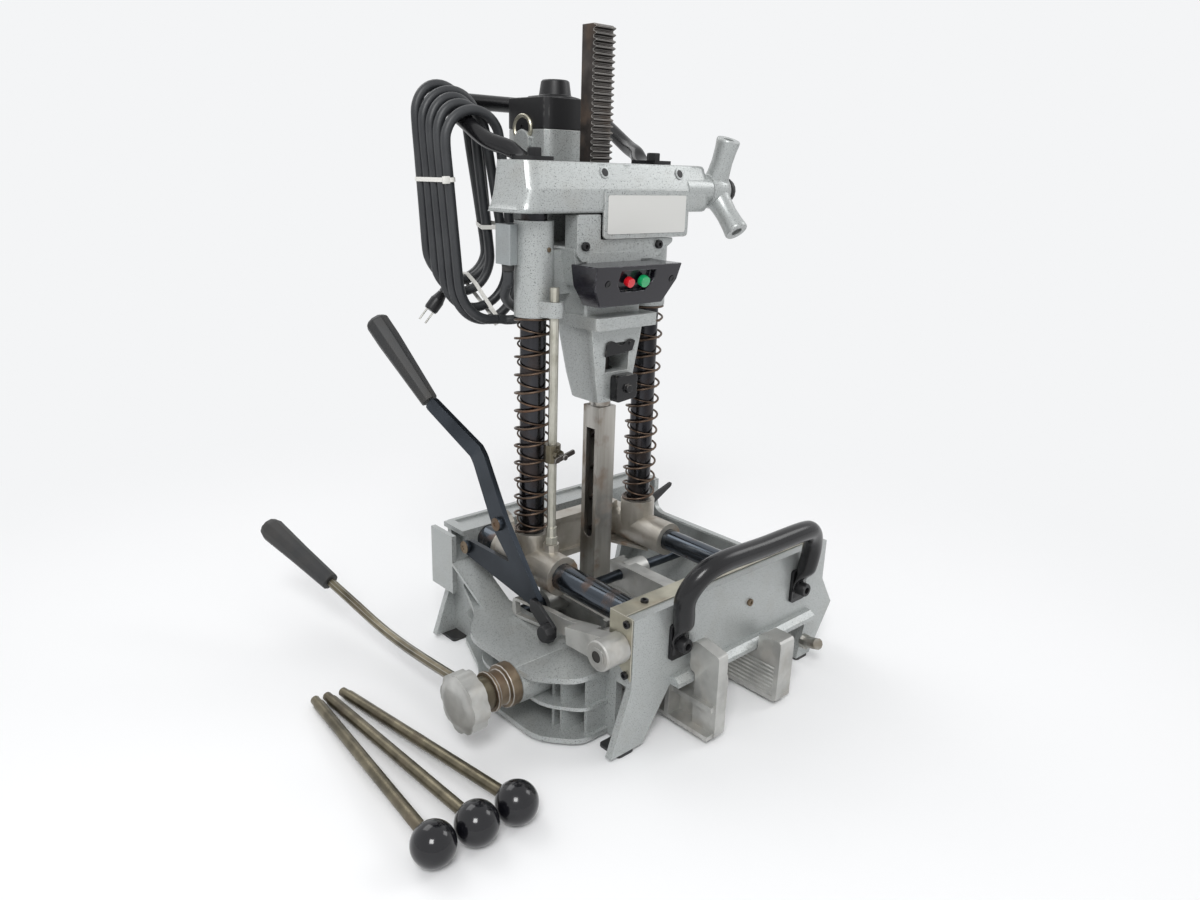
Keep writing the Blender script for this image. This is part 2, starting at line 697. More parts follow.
def cover_strip():
    """Zinc strip on the front channel, folded down over its left end."""
    top = block(BASE_LEFT - GAP - STRIP_THICKNESS, BASE_RIGHT - FLANGE, STRIP_LEG_REAR - STRIP_DEPTH,
                STRIP_LEG_REAR, BASE_HEIGHT + GAP, BASE_HEIGHT + GAP + STRIP_THICKNESS)
    low = FENDER_TOP + GAP * 4
    leg = [
        (STRIP_LEG_FRONT, BASE_HEIGHT + GAP + STRIP_THICKNESS), (STRIP_LEG_REAR, BASE_HEIGHT + GAP + STRIP_THICKNESS),
        (STRIP_LEG_REAR, low + STRIP_DEPTH), (STRIP_LEG_FRONT, low),
    ]
    side = prism(leg, "X", BASE_LEFT - GAP - STRIP_THICKNESS, BASE_LEFT - GAP)
    strip = fused(side, top)
    strip = cut(strip, rod(SHAFT / 2 + GAP, "X", (ARM_PIVOT_Y, ARM_PIVOT_HEIGHT), BASE_LEFT - CUT_OVERRUN * 2,
                           BASE_LEFT + CUT_OVERRUN, FINE_SIDES))
    named(strip, "cover_strip", (0.55, 0.54, 0.46), 0.4, 0.8)


# Carriage


def carriage_casting():
    """Two T bushings on the bars, joined by a bridge behind the chisel."""
    parts = []
    for x, radius in BARS:
        outer = radius + BUSHING_WALL
        parts.append(rod(outer, "Y", (x, BAR_HEIGHT), BUSHING_FRONT, BUSHING_REAR))
        parts.append(rod(COLUMN / 2 + SOCKET_WALL, "Z", (x, 0), BAR_HEIGHT, SOCKET_TOP))
    # Bridge: an upright web behind the chisel with a thick lower rail and a top rib
    rear = BUSHING_REAR - BUSHING_WALL
    reach = HALF - RIB
    parts.append(block(-reach, reach, rear - BRIDGE_DEPTH, rear, BRIDGE_BOTTOM, BRIDGE_TOP))
    parts.append(block(-reach + FUSE, reach - FUSE, rear - BRIDGE_RAIL, rear + RIB, BRIDGE_BOTTOM - RIB,
                       BRIDGE_BOTTOM + RIB))
    parts.append(block(-HALF + COLUMN / 2, HALF - COLUMN / 2, rear - BRIDGE_RAIL, rear + RIB,
                       BRIDGE_TOP - RIB, BRIDGE_TOP + FUSE))
    for x, radius in BARS:
        toward = 1 if x < 0 else -1
        outer = x + toward * FLANGE
        inner = outer + toward * GUSSET
        plate = [(outer, BUSHING_FRONT / 2), (inner, rear - BRIDGE_DEPTH), (inner, rear - FUSE), (outer, rear - FUSE)]
        parts.append(prism(plate, "Z", BRIDGE_BOTTOM - RIB / 2, BRIDGE_BOTTOM + RIB / 2))
    # Boss for the depth rod, and the raised boss that carries the feed lever
    rod_foot = BAR_HEIGHT + LEFT_BAR / 2 + BUSHING_WALL / 2
    parts.append(rod(ROD_BOSS, "Z", (DEPTH_ROD_X, DEPTH_ROD_Y), rod_foot - CUT_OVERRUN, SOCKET_TOP - BUSHING_WALL,
                     FINE_SIDES))
    bracket_right = -HALF - COLUMN / 2
    bracket_left = LEVER_X + LEVER_THICKNESS / 2 + GAP
    parts.append(rod(LEVER_BOSS, "X", (LEVER_PIVOT_Y, LEVER_PIVOT_HEIGHT), bracket_left,
                     bracket_left + LEVER_THICKNESS, FINE_SIDES))
    arm = [
        (LEVER_PIVOT_Y - LEVER_BOSS + FUSE, LEVER_PIVOT_HEIGHT), (LEVER_PIVOT_Y + LEVER_BOSS - FUSE, LEVER_PIVOT_HEIGHT),
        (BUSHING_REAR / 2, BAR_HEIGHT), (BUSHING_FRONT / 2, BAR_HEIGHT),
    ]
    parts.append(prism(arm, "X", bracket_left + FUSE, bracket_left + LEVER_THICKNESS - FUSE))
    parts.append(block(bracket_left + FUSE, bracket_right, BUSHING_FRONT / 2, BUSHING_REAR / 2,
                       BAR_HEIGHT - BUSHING_WALL / 2, BAR_HEIGHT + BUSHING_WALL / 2))
    shape = fused(parts[0], *parts[1:])
    cutters = []
    for x, radius in BARS:
        cutters.append(rod(radius + RUNNING_GAP, "Y", (x, BAR_HEIGHT), BUSHING_FRONT - CUT_OVERRUN,
                           BUSHING_REAR + CUT_OVERRUN))
        cutters.append(rod(COLUMN / 2 + GAP, "Z", (x, 0), BAR_HEIGHT + radius + CUT_OVERRUN,
                           SOCKET_TOP + CUT_OVERRUN))
    cutters.append(rod(DEPTH_ROD / 2 + GAP, "Z", (DEPTH_ROD_X, DEPTH_ROD_Y),
                       BAR_HEIGHT + LEFT_BAR / 2 + BUSHING_WALL, SOCKET_TOP - BUSHING_WALL / 2, FINE_SIDES))
    shape = cut(shape, *cutters)
    named(shape, "carriage_casting", RAW_CASTING, 0.5, 0.6)


def column_top():
    return CROSSHEAD_TOP - FLANGE - GAP


def columns():
    for name, (x, radius) in zip(("left_column", "right_column"), BARS):
        column = rod(COLUMN / 2, "Z", (x, 0), BAR_HEIGHT + radius + CUT_OVERRUN + GAP, column_top())
        named(column, name, BLACK_PAINT, 0.3, 0.8)


def spring(name, x, mean, wire, turns, hand, start):
    """One unbroken helix between the carriage socket and the motor head's sleeve."""
    low = SOCKET_TOP + GAP + wire
    high = SLEEVE_BOTTOM - GAP - wire
    steps = turns * SPRING_POINTS
    points = []
    for i in range(steps + 1):
        share = i / steps
        angle = start + hand * math.tau * turns * share
        points.append(Vector((x + mean * math.cos(angle), mean * math.sin(angle), low + (high - low) * share)))
    lead_in = (points[0] - points[1]).normalized() * wire * 2
    lead_out = (points[-1] - points[-2]).normalized() * wire * 2
    lead_in.z = 0
    lead_out.z = 0
    points = [points[0] + lead_in] + points + [points[-1] + lead_out]
    item = tube_curve(points, wire, 1)
    pitch = (high - low) / turns
    print(f"{name}: least gap between its turns {(pitch - wire * 2) * 1000:.2f} mm")
    named(item, name, (0.16, 0.11, 0.08), 0.45, 0.8)


def springs():
    for side, x in (("left", -HALF), ("right", HALF)):
        spring(side + "_outer_spring", x, OUTER_SPRING_MEAN, OUTER_SPRING_WIRE, OUTER_SPRING_TURNS, 1, 0.0)
        spring(side + "_inner_spring", x, INNER_SPRING_MEAN, INNER_SPRING_WIRE, INNER_SPRING_TURNS, -1, math.pi)


def depth_stop():
    spot = (DEPTH_ROD_X, DEPTH_ROD_Y)
    foot = BAR_HEIGHT + LEFT_BAR / 2 + BUSHING_WALL + GAP
    stem = rod(DEPTH_ROD / 2, "Z", spot, foot, DEPTH_ROD_TOP, FINE_SIDES)
    seat = SOCKET_TOP - BUSHING_WALL + GAP
    hexagon = [
        (spot[0] + DEPTH_NUT / 2 * math.cos(math.tau * i / 6), spot[1] + DEPTH_NUT / 2 * math.sin(math.tau * i / 6))
        for i in range(6)
    ]
    nut = prism(hexagon, "Z", seat, seat + DEPTH_NUT_HEIGHT)
    sleeve = rod(DEPTH_ROD / 2 + FUSE, "Z", spot, seat + DEPTH_NUT_HEIGHT - FUSE,
                 seat + DEPTH_NUT_HEIGHT * 2.4, FINE_SIDES)
    named(fused(stem, nut, sleeve), "depth_rod", BRIGHT_STEEL, 0.3, 0.9)
    collar = ring(DEPTH_ROD / 2 + RUNNING_GAP, COLLAR / 2, "Z", spot, COLLAR_HEIGHT - COLLAR_LENGTH / 2,
                  COLLAR_HEIGHT + COLLAR_LENGTH / 2, FINE_SIDES)
    start = COLLAR / 2 - FUSE
    lug = rod(WING_SCREW, "Y", (spot[0], COLLAR_HEIGHT), spot[1] - COLLAR / 2 - RIB, spot[1] - start, FINE_SIDES)
    named(fused(collar, lug), "stop_collar", OLIVE_ZINC, 0.4, 0.8, (*spot, COLLAR_HEIGHT))
    head = spot[1] - COLLAR / 2 - RIB - GAP
    stud = rod(WING_SCREW / 2, "Y", (spot[0], COLLAR_HEIGHT), head - WING_REACH * 0.6, head, FINE_SIDES)
    wing = rounded([
        (spot[0] - WING_REACH * 0.9, COLLAR_HEIGHT - WING_SCREW * 0.9), (spot[0] + WING_REACH * 0.9, COLLAR_HEIGHT + WING_SCREW * 0.3),
        (spot[0] + WING_REACH * 0.8, COLLAR_HEIGHT + WING_SCREW * 1.2), (spot[0] - WING_REACH * 0.8, COLLAR_HEIGHT + WING_SCREW * 0.2),
    ], WING_SCREW / 3)
    wing = prism(wing, "Y", head - WING_REACH * 0.6 + FUSE, head - WING_REACH * 0.6 + WING_SCREW / 2)
    named(fused(stud, wing), "wing_screw", DARK_STEEL, 0.45, 0.8, (spot[0], head, COLLAR_HEIGHT))


# Crosshead


def crosshead():
    """Hollow top casting, open below, fixed on the columns."""
    lean = CROSSHEAD_LEAN
    top_half = CROSSHEAD_HALF
    bm = bmesh.new()
    rings = []
    for half, front, height in (
        (top_half + CROSSHEAD_FLARE, CROSSHEAD_FRONT - lean * 0.2, CROSSHEAD_LIP),
        (top_half + CROSSHEAD_FLARE * 0.6, CROSSHEAD_FRONT - lean, CROSSHEAD_LIP + RIB * 2),
        (top_half + CROSSHEAD_FLARE * 0.3, CROSSHEAD_FRONT - lean, CROSSHEAD_BAND),
        (top_half, CROSSHEAD_FRONT, CROSSHEAD_TOP),
    ):
        plan = rounded([(-half, front), (half, front), (half, CROSSHEAD_REAR), (-half, CROSSHEAD_REAR)], 0.014, 3)
        rings.append([bm.verts.new((x, y, height)) for x, y in plan])
    bm.faces.new(rings[0])
    bm.faces.new(rings[-1])
    for lower, upper in zip(rings, rings[1:]):
        for i in range(len(lower)):
            j = (i + 1) % len(lower)
            bm.faces.new((lower[i], lower[j], upper[j], upper[i]))
    shape = object_from(bm)
    apron = rounded([
        (APRON_LEFT, CROSSHEAD_BAND), (APRON_RIGHT, CROSSHEAD_BAND), (APRON_RIGHT, APRON_BOTTOM),
        (APRON_LEFT, APRON_BOTTOM),
    ], RIB, 2)
    apron = prism(apron, "Y", CROSSHEAD_FRONT - lean - FUSE, CROSSHEAD_FRONT - lean + APRON_DEPTH)
    bearing = rod(HUB_BODY / 2, "X", (PINION_Y, PINION_HEIGHT), top_half - FLANGE, HUB_X - GAP)
    shape = fused(shape, apron, bearing)
    hollow = block(-top_half + FLANGE, top_half - FLANGE, CROSSHEAD_FRONT - lean + FLANGE + APRON_DEPTH / 2,
                   CROSSHEAD_REAR - FLANGE, CROSSHEAD_LIP - CUT_OVERRUN, CROSSHEAD_TOP - FLANGE)
    # Bearing blocks for the pinion shaft, beside the slot of the rack
    webs = [block(side * (RACK_WIDTH / 2 + RIB) - RIB, side * (RACK_WIDTH / 2 + RIB) + RIB, CROSSHEAD_FRONT - FUSE,
                  CROSSHEAD_REAR - FUSE, CROSSHEAD_LIP + RIB, CROSSHEAD_TOP - FUSE) for side in (-1, 1)]
    shape = cut(shape, hollow)
    posts = [rod(COLUMN / 2 + SOCKET_WALL * 0.7, "Z", (x, 0), CROSSHEAD_LIP + RIB, CROSSHEAD_TOP - FUSE, FINE_SIDES)
             for x, _ in BARS]
    shape = fused(shape, *posts, *webs)
    cutters = [rod(COLUMN / 2 + GAP, "Z", (x, 0), CROSSHEAD_LIP - CUT_OVERRUN, column_top() + GAP) for x, _ in BARS]
    rack_back = rack_pitch_y() + RACK_DEPTH
    clear = RUNNING_GAP * 2
    cutters.append(block(-RACK_WIDTH / 2 - clear, RACK_WIDTH / 2 + clear, rack_pitch_y() - MODULE - clear,
                         rack_back + clear, CROSSHEAD_LIP, CROSSHEAD_TOP + CUT_OVERRUN))
    cutters.append(rod(PINION_TEETH * MODULE / 2 + MODULE + clear, "X", (PINION_Y, PINION_HEIGHT),
                       -PINION_WIDTH / 2 - RIB / 2, PINION_WIDTH / 2 + RIB / 2))
    cutters.append(rod(PINION_SHAFT / 2 + RUNNING_GAP, "X", (PINION_Y, PINION_HEIGHT), -PINION_WIDTH - RIB,
                       HUB_X + CUT_OVERRUN, FINE_SIDES))
    shape = cut(shape, *cutters)
    named(shape, "crosshead", GREY_PAINT, 0.45, 0.3)


def rack_pitch_y():
    return PINION_Y + PINION_TEETH * MODULE / 2


def tooth_flanks(place):
    """Half widths of a tooth at its root, pitch line and tip, for a 20 degree flank."""
    quarter = math.pi * MODULE / 4 - TOOTH_BACKLASH
    return quarter - place * math.tan(math.radians(20))


def rack():
    pitch = math.pi * MODULE
    tip = rack_pitch_y() - MODULE * 0.9
    root = rack_pitch_y() + MODULE * 1.2
    back = rack_pitch_y() + RACK_DEPTH - MODULE
    foot = RACK_FOOT
    outline = [(back, foot), (back, RACK_TOP), (root, RACK_TOP)]
    count = int((RACK_TOP - foot) / pitch)
    # Teeth are counted from the pinion's height, so that they mesh with it.
    first = math.floor((RACK_TOP - MODULE - PINION_HEIGHT) / pitch)
    for k in range(count):
        middle = PINION_HEIGHT + (first - k) * pitch
        wide = tooth_flanks(-MODULE * 1.2)
        narrow = tooth_flanks(MODULE * 0.9)
        if middle + wide > RACK_TOP - GAP or middle - wide < foot + GAP:
            continue
        outline += [(root, middle + wide), (tip, middle + narrow), (tip, middle - narrow), (root, middle - wide)]
    outline.append((root, foot))
    named(prism(outline, "X", -RACK_WIDTH / 2, RACK_WIDTH / 2), "rack", (0.09, 0.06, 0.05), 0.5, 0.7)


def pinion_and_hub():
    axis = (PINION_Y, PINION_HEIGHT)
    radius = PINION_TEETH * MODULE / 2
    # A gap faces the rack at rest, because a rack tooth stands at the pinion's height.
    outline = []
    for k in range(PINION_TEETH):
        angle = math.tau * (k + 0.5) / PINION_TEETH
        for place, side in ((-MODULE * 1.2, -1), (MODULE * 0.9, -1), (MODULE * 0.9, 1), (-MODULE * 1.2, 1)):
            half = tooth_flanks(place) / radius
            reach = radius + place
            outline.append((axis[0] + reach * math.cos(angle + side * half),
                            axis[1] + reach * math.sin(angle + side * half)))
    gear = prism(outline, "X", -PINION_WIDTH / 2, PINION_WIDTH / 2)
    shaft = rod(PINION_SHAFT / 2, "X", axis, -PINION_WIDTH, HUB_X + HUB_LENGTH / 2, FINE_SIDES)
    named(fused(gear, shaft), "pinion_shaft", DARK_STEEL, 0.4, 0.9, (0, *axis))
    body = turned([
        (PINION_SHAFT / 2 + GAP, HUB_X), (HUB_BODY / 2, HUB_X), (HUB_BODY / 2 + RIB / 2, HUB_X + HUB_LENGTH / 2),
        (HUB_BODY / 2, HUB_X + HUB_LENGTH), (PINION_SHAFT / 2 + GAP, HUB_X + HUB_LENGTH),
    ], "X", axis)
    arms = []
    middle = HUB_X + HUB_LENGTH / 2
    for k in range(3):
        angle = HUB_FIRST_ARM + math.tau * k / 3
        arm = turned([
            (0, HUB_BODY / 4), (HUB_ARM * 0.56, HUB_BODY / 4), (HUB_ARM * 0.45, HUB_BODY * 0.75),
            (HUB_ARM / 2, HUB_ARM_LENGTH), (ROD / 2, HUB_ARM_LENGTH),
            (ROD / 2, HUB_ARM_LENGTH * 0.55), (0, HUB_ARM_LENGTH * 0.55),
        ], "Z", (0, 0), FINE_SIDES)
        # The arm points along -Y at angle zero and rises with the angle.
        turn = Matrix.Rotation(math.pi / 2 - angle, 4, "X")
        arms.append(moved(arm, Matrix.Translation((middle, *axis)) @ turn))
    hub = fused(body, *arms)
    hub = cut(hub, rod(PINION_SHAFT / 2 + GAP, "X", axis, HUB_X - CUT_OVERRUN,
                       HUB_X + HUB_LENGTH + CUT_OVERRUN, FINE_SIDES))
    named(hub, "hub", GREY_PAINT, 0.45, 0.3, (middle, *axis))
    end = HUB_X + HUB_LENGTH + GAP
    cap = turned([
        (0, end), (HUB_CAP / 2, end), (HUB_CAP / 2, end + RIB), (HUB_CAP * 0.42, end + RIB * 2.2),
        (HUB_CAP * 0.2, end + RIB * 2.9), (0, end + RIB * 3),
    ], "X", axis)
    named(cap, "hub_cap", RUBBER, 0.5, 0.0, (end, *axis))


# Motor head


def head_casting():
    """Two sleeves on the columns, the gearbox between them, a neck for the holder and the stop ear."""
    parts = []
    for x, _ in BARS:
        parts.append(rod(SLEEVE / 2, "Z", (x, 0), SLEEVE_BOTTOM, SLEEVE_TOP))
    tub = rounded([
        (-GEARBOX_HALF, GEARBOX_TOP), (GEARBOX_HALF, GEARBOX_TOP), (GEARBOX_HALF * 0.86, GEARBOX_BOTTOM + RIB),
        (-GEARBOX_HALF * 0.86, GEARBOX_BOTTOM + RIB),
    ], FLANGE)
    parts.append(prism(tub, "Y", GEARBOX_FRONT, MOTOR_FRONT))
    seat = rounded([
        (-SEAT_HALF, MOTOR_FRONT - FLANGE), (SEAT_HALF, MOTOR_FRONT - FLANGE), (SEAT_HALF, GEARBOX_REAR),
        (-SEAT_HALF, GEARBOX_REAR),
    ], FLANGE)
    parts.append(prism(seat, "Z", GEARBOX_BOTTOM + RIB * 2, GEARBOX_TOP - FUSE))
    reach = HALF - SLEEVE / 3
    parts.append(block(-reach, reach, -SLEEVE / 5, SLEEVE / 5, GEARBOX_BOTTOM - RIB, GEARBOX_TOP - RIB))
    # Neck behind the switch box, down to a thick plate that carries the chisel holder
    neck = rounded([
        (-NECK_HALF - RIB, GEARBOX_FRONT - RIB), (NECK_HALF + RIB, GEARBOX_FRONT - RIB),
        (NECK_HALF + RIB, NECK_REAR), (-NECK_HALF - RIB, NECK_REAR),
    ], FLANGE)
    parts.append(prism(neck, "Z", NECK_BOTTOM, GEARBOX_TOP - FLANGE))
    plate = rounded([
        (-NECK_HALF - RIB * 2, PLATE_FRONT), (NECK_HALF + RIB * 2, PLATE_FRONT),
        (NECK_HALF + RIB * 2, NECK_REAR - RIB), (-NECK_HALF - RIB * 2, NECK_REAR - RIB),
    ], FLANGE)
    parts.append(prism(plate, "Z", NECK_BOTTOM - PLATE_THICKNESS, NECK_BOTTOM + FUSE))
    # Stop ear on the left sleeve, round the depth rod
    ear_low = SLEEVE_BOTTOM + RIB / 2
    ear = [(-HALF - SLEEVE * 0.3, 0), (DEPTH_ROD_X - EAR_RADIUS, DEPTH_ROD_Y)]
    ear += arc((DEPTH_ROD_X, DEPTH_ROD_Y), EAR_RADIUS, math.pi * 1.1, math.pi * 1.9, 6)
    ear += [(DEPTH_ROD_X + EAR_RADIUS, DEPTH_ROD_Y), (-HALF + SLEEVE * 0.3, 0)]
    parts.append(prism(ear, "Z", ear_low, ear_low + EAR_HEIGHT))
    shape = fused(parts[0], *parts[1:])
    cutters = [rod(COLUMN / 2 + RUNNING_GAP, "Z", (x, 0), SLEEVE_BOTTOM - CUT_OVERRUN, SLEEVE_TOP + CUT_OVERRUN)
               for x, _ in BARS]
    cutters.append(rod(DEPTH_ROD / 2 + RUNNING_GAP * 2, "Z", (DEPTH_ROD_X, DEPTH_ROD_Y), ear_low - CUT_OVERRUN,
                       ear_low + EAR_HEIGHT + CUT_OVERRUN, FINE_SIDES))
    # Pocket for the rack's foot, and the bore for the spindle
    back = rack_pitch_y() + RACK_DEPTH - MODULE
    cutters.append(block(-RACK_WIDTH / 2 - GAP, RACK_WIDTH / 2 + GAP, rack_pitch_y() - MODULE * 2, back + GAP,
                         RACK_FOOT - GAP, GEARBOX_TOP + CUT_OVERRUN))
    cutters.append(rod(AUGER / 2 + JAW_CLEAR, "Z", (CHISEL_X, CHISEL_Y), NECK_BOTTOM - PLATE_THICKNESS - CUT_OVERRUN,
                       SPINDLE_TOP + GAP * 2, FINE_SIDES))
    shape = cut(shape, *cutters)
    named(shape, "head_casting", GREY_PAINT, 0.45, 0.3)


def motor():
    low = GEARBOX_TOP + GAP
    plan = rounded([
        (-MOTOR_HALF, MOTOR_FRONT), (MOTOR_HALF, MOTOR_FRONT), (MOTOR_HALF, MOTOR_REAR), (-MOTOR_HALF, MOTOR_REAR),
    ], FLANGE * 2)
    housing = prism(plan, "Z", low, MOTOR_TOP)
    brush_y = (MOTOR_FRONT + MOTOR_REAR) / 2
    brush_height = MOTOR_TOP - BRUSH_BOSS * 0.5
    parts = [
        rod(BRUSH_BOSS / 2, "X", (brush_y, brush_height), side * MOTOR_HALF - FLANGE, side * MOTOR_HALF + FLANGE,
            FINE_SIDES)
        for side in (-1, 1)
    ]
    named(fused(housing, *parts), "motor_housing", GREY_PAINT, 0.45, 0.3)
    base = MOTOR_TOP + GAP
    cap = prism([(x * 1.02, y) for x, y in plan], "Z", base, MOTOR_CAP_TOP)
    cap = cut(cap, *[
        rod(BRUSH_BOSS / 2 + GAP, "X", (brush_y, brush_height), side * MOTOR_HALF - FLANGE - GAP,
            side * MOTOR_HALF + FLANGE * 2, FINE_SIDES)
        for side in (-1, 1)
    ])
    cone = turned([
        (0, MOTOR_CAP_TOP - FUSE), (MOTOR_CONE * 0.5, MOTOR_CAP_TOP - FUSE), (MOTOR_CONE * 0.5, MOTOR_CAP_TOP + RIB / 2),
        (MOTOR_CONE * 0.33, MOTOR_CAP_TOP + RIB), (MOTOR_CONE * 0.29, MOTOR_CONE_TOP - RIB / 2),
        (MOTOR_CONE * 0.26, MOTOR_CONE_TOP), (0, MOTOR_CONE_TOP),
    ], "Z", (0, brush_y))
    named(fused(cap, cone), "motor_cap", BLACK_PAINT, 0.5, 0.0)
    right = -HALF - SLEEVE / 2 * 0.4
    box = prism(rounded([
        (TERMINAL_LEFT, TERMINAL_FRONT), (right, TERMINAL_FRONT + FLANGE), (right, TERMINAL_FRONT + TERMINAL_BOX),
        (TERMINAL_LEFT, TERMINAL_FRONT + TERMINAL_BOX),
    ], RIB / 2), "Z", TERMINAL_BOTTOM, TERMINAL_TOP)
    box = cut(box, rod(SLEEVE / 2 + GAP, "Z", (-HALF, 0), TERMINAL_BOTTOM - CUT_OVERRUN, TERMINAL_TOP + CUT_OVERRUN))
    named(box, "terminal_box", GREY_PAINT, 0.45, 0.3)
    gland = turned([
        (0, TERMINAL_BOTTOM - GLAND_LENGTH), (CORD / 2 + FUSE / 3, TERMINAL_BOTTOM - GLAND_LENGTH),
        (GLAND / 2, TERMINAL_BOTTOM - GLAND_LENGTH / 3), (GLAND / 2, TERMINAL_BOTTOM - GAP),
        (0, TERMINAL_BOTTOM - GAP),
    ], "Z", gland_spot(), FINE_SIDES)
    named(gland, "cord_gland", RUBBER, 0.7, 0.0)


def gland_spot():
    return (TERMINAL_LEFT + GLAND / 2 + GAP, TERMINAL_FRONT + TERMINAL_BOX * 0.46)


def switch_box():
    back = SWITCH_BACK - GAP * 2
    bm = bmesh.new()
    corners = []
    for height, half, front in (
        (SWITCH_TOP, SWITCH_HALF_TOP, SWITCH_FRONT), (SWITCH_BOTTOM, SWITCH_HALF_BOTTOM, SWITCH_FRONT + SWITCH_LEAN),
    ):
        corners.append([bm.verts.new((x, y, height)) for x, y in (
            (-half, front), (half, front), (half * 0.9, back), (-half * 0.9, back))])
    bm.faces.new(corners[0])
    bm.faces.new(corners[1])
    for i in range(4):
        j = (i + 1) % 4
        bm.faces.new((corners[0][i], corners[0][j], corners[1][j], corners[1][i]))
    shell = softened(object_from(bm), RIB / 2, 30)
    span = BUTTON_SPACING + BUTTON * 2
    recess_back = SWITCH_FRONT + SWITCH_LEAN + FLANGE
    recess = block(BUTTON_X - span / 2, BUTTON_X + span / 2, SWITCH_FRONT - CUT_OVERRUN, recess_back,
                   BUTTON_HEIGHT - BUTTON * 0.9, BUTTON_HEIGHT + BUTTON * 0.9)
    wells = [rod(BUTTON / 2 + RUNNING_GAP, "Y", (BUTTON_X + side * BUTTON_SPACING / 2, BUTTON_HEIGHT),
                 recess_back - CUT_OVERRUN, recess_back + FLANGE, FINE_SIDES) for side in (-1, 1)]
    named(cut(shell, recess, *wells), "switch_box", BLACK_PAINT, 0.4, 0.2)
    seat = recess_back + FLANGE - BUTTON_TRAVEL - GAP
    for name, side, colour in (("stop_button", -1, (0.6, 0.03, 0.04)), ("start_button", 1, (0.02, 0.35, 0.12))):
        x = BUTTON_X + side * BUTTON_SPACING / 2
        face = recess_back - BUTTON_PROUD
        button = turned([
            (0, face), (BUTTON / 2 - FUSE, face), (BUTTON / 2, face + FUSE), (BUTTON / 2, seat), (0, seat),
        ], "Y", (x, BUTTON_HEIGHT), FINE_SIDES)
        named(button, name, colour, 0.3, 0.0, (x, face, BUTTON_HEIGHT))


def chisel_holder():
    """Tapered casting under the head with a window in its front wall."""
    top = NECK_BOTTOM - PLATE_THICKNESS - GAP
    bm = bmesh.new()
    rings = []
    for height, half, front, rear in (
        (top, HOLDER_TOP_HALF, HOLDER_FRONT, HOLDER_REAR),
        (WINDOW_TOP + RIB, HOLDER_TOP_HALF * 0.94, HOLDER_FRONT, HOLDER_REAR),
        (WINDOW_BOTTOM - FLANGE, HOLDER_TOP_HALF * 0.76, HOLDER_FRONT + RIB / 2, HOLDER_REAR - RIB),
        (HOLDER_BOTTOM, HOLDER_BOTTOM_HALF, HOLDER_FRONT + RIB, HOLDER_REAR - RIB * 2),
    ):
        plan = rounded([(-half, front), (half, front), (half, rear), (-half, rear)], FLANGE * 1.6, 2)
        rings.append([bm.verts.new((x, y, height)) for x, y in plan])
    bm.faces.new(rings[0])
    bm.faces.new(rings[-1])
    for lower, upper in zip(rings, rings[1:]):
        for i in range(len(lower)):
            j = (i + 1) % len(lower)
            bm.faces.new((lower[i], lower[j], upper[j], upper[i]))
    shape = object_from(bm)
    window = block(-WINDOW_WIDTH / 2, WINDOW_WIDTH / 2, HOLDER_FRONT - CUT_OVERRUN, CHISEL_Y + AUGER / 2,
                   WINDOW_BOTTOM, WINDOW_TOP)
    bore = rod(AUGER / 2 + JAW_CLEAR, "Z", (CHISEL_X, CHISEL_Y), WINDOW_BOTTOM - CUT_OVERRUN, top + CUT_OVERRUN, FINE_SIDES)
    socket = rod(CHISEL_SHANK / 2 + GAP, "Z", (CHISEL_X, CHISEL_Y), HOLDER_BOTTOM - CUT_OVERRUN,
                 WINDOW_BOTTOM + FUSE)
    shape = cut(shape, window, bore, socket)
    named(shape, "chisel_holder", GREY_PAINT, 0.45, 0.3)


def holder_fittings():
    front = HOLDER_FRONT + RIB * 1.46 - GAP
    x0, height = CLAMP_BLOCK_X, CLAMP_BLOCK_HEIGHT
    half = CLAMP_BLOCK / 2
    plan = rounded([(x0 - half, height - half), (x0 + half, height - half * 0.8), (x0 + half, height + half),
                    (x0 - half, height + half)], RIB)
    slab = prism(plan, "Y", front - RIB - CLAMP_BLOCK_DEPTH, front - RIB)
    hexagon = [
        (x0 + CLAMP_BOLT / 2 * math.cos(math.tau * i / 6), height + CLAMP_BOLT / 2 * math.sin(math.tau * i / 6))
        for i in range(6)
    ]
    bolt = prism(hexagon, "Y", front - RIB - CLAMP_BLOCK_DEPTH - RIB, front - RIB - CLAMP_BLOCK_DEPTH + FUSE)
    named(fused(slab, bolt), "clamp_block", BLACK_PAINT, 0.5, 0.5)
    # Shutter: a wavy plate that swings over the window
    blade = []
    length = WINDOW_WIDTH * 1.25
    for k in range(13):
        share = k / 12
        blade.append((SHUTTER_X - length * share + RIB, SHUTTER_HEIGHT - RIB + RIB * 0.7 * math.sin(share * math.tau * 1.5)))
    blade += [(SHUTTER_X - length * 0.95, SHUTTER_HEIGHT - FLANGE * 3), (SHUTTER_X, SHUTTER_HEIGHT - FLANGE * 2.4)]
    face = HOLDER_FRONT - GAP
    plate = prism(blade, "Y", face - SHUTTER_THICKNESS, face)
    pin = rod(RIB / 2, "Y", (SHUTTER_X - RIB, SHUTTER_HEIGHT - FLANGE), face - SHUTTER_THICKNESS - FUSE,
              face - SHUTTER_THICKNESS / 2, FINE_SIDES)
    named(fused(plate, pin), "shutter", BLACK_PAINT, 0.4, 0.6, (SHUTTER_X - RIB, face, SHUTTER_HEIGHT - FLANGE))


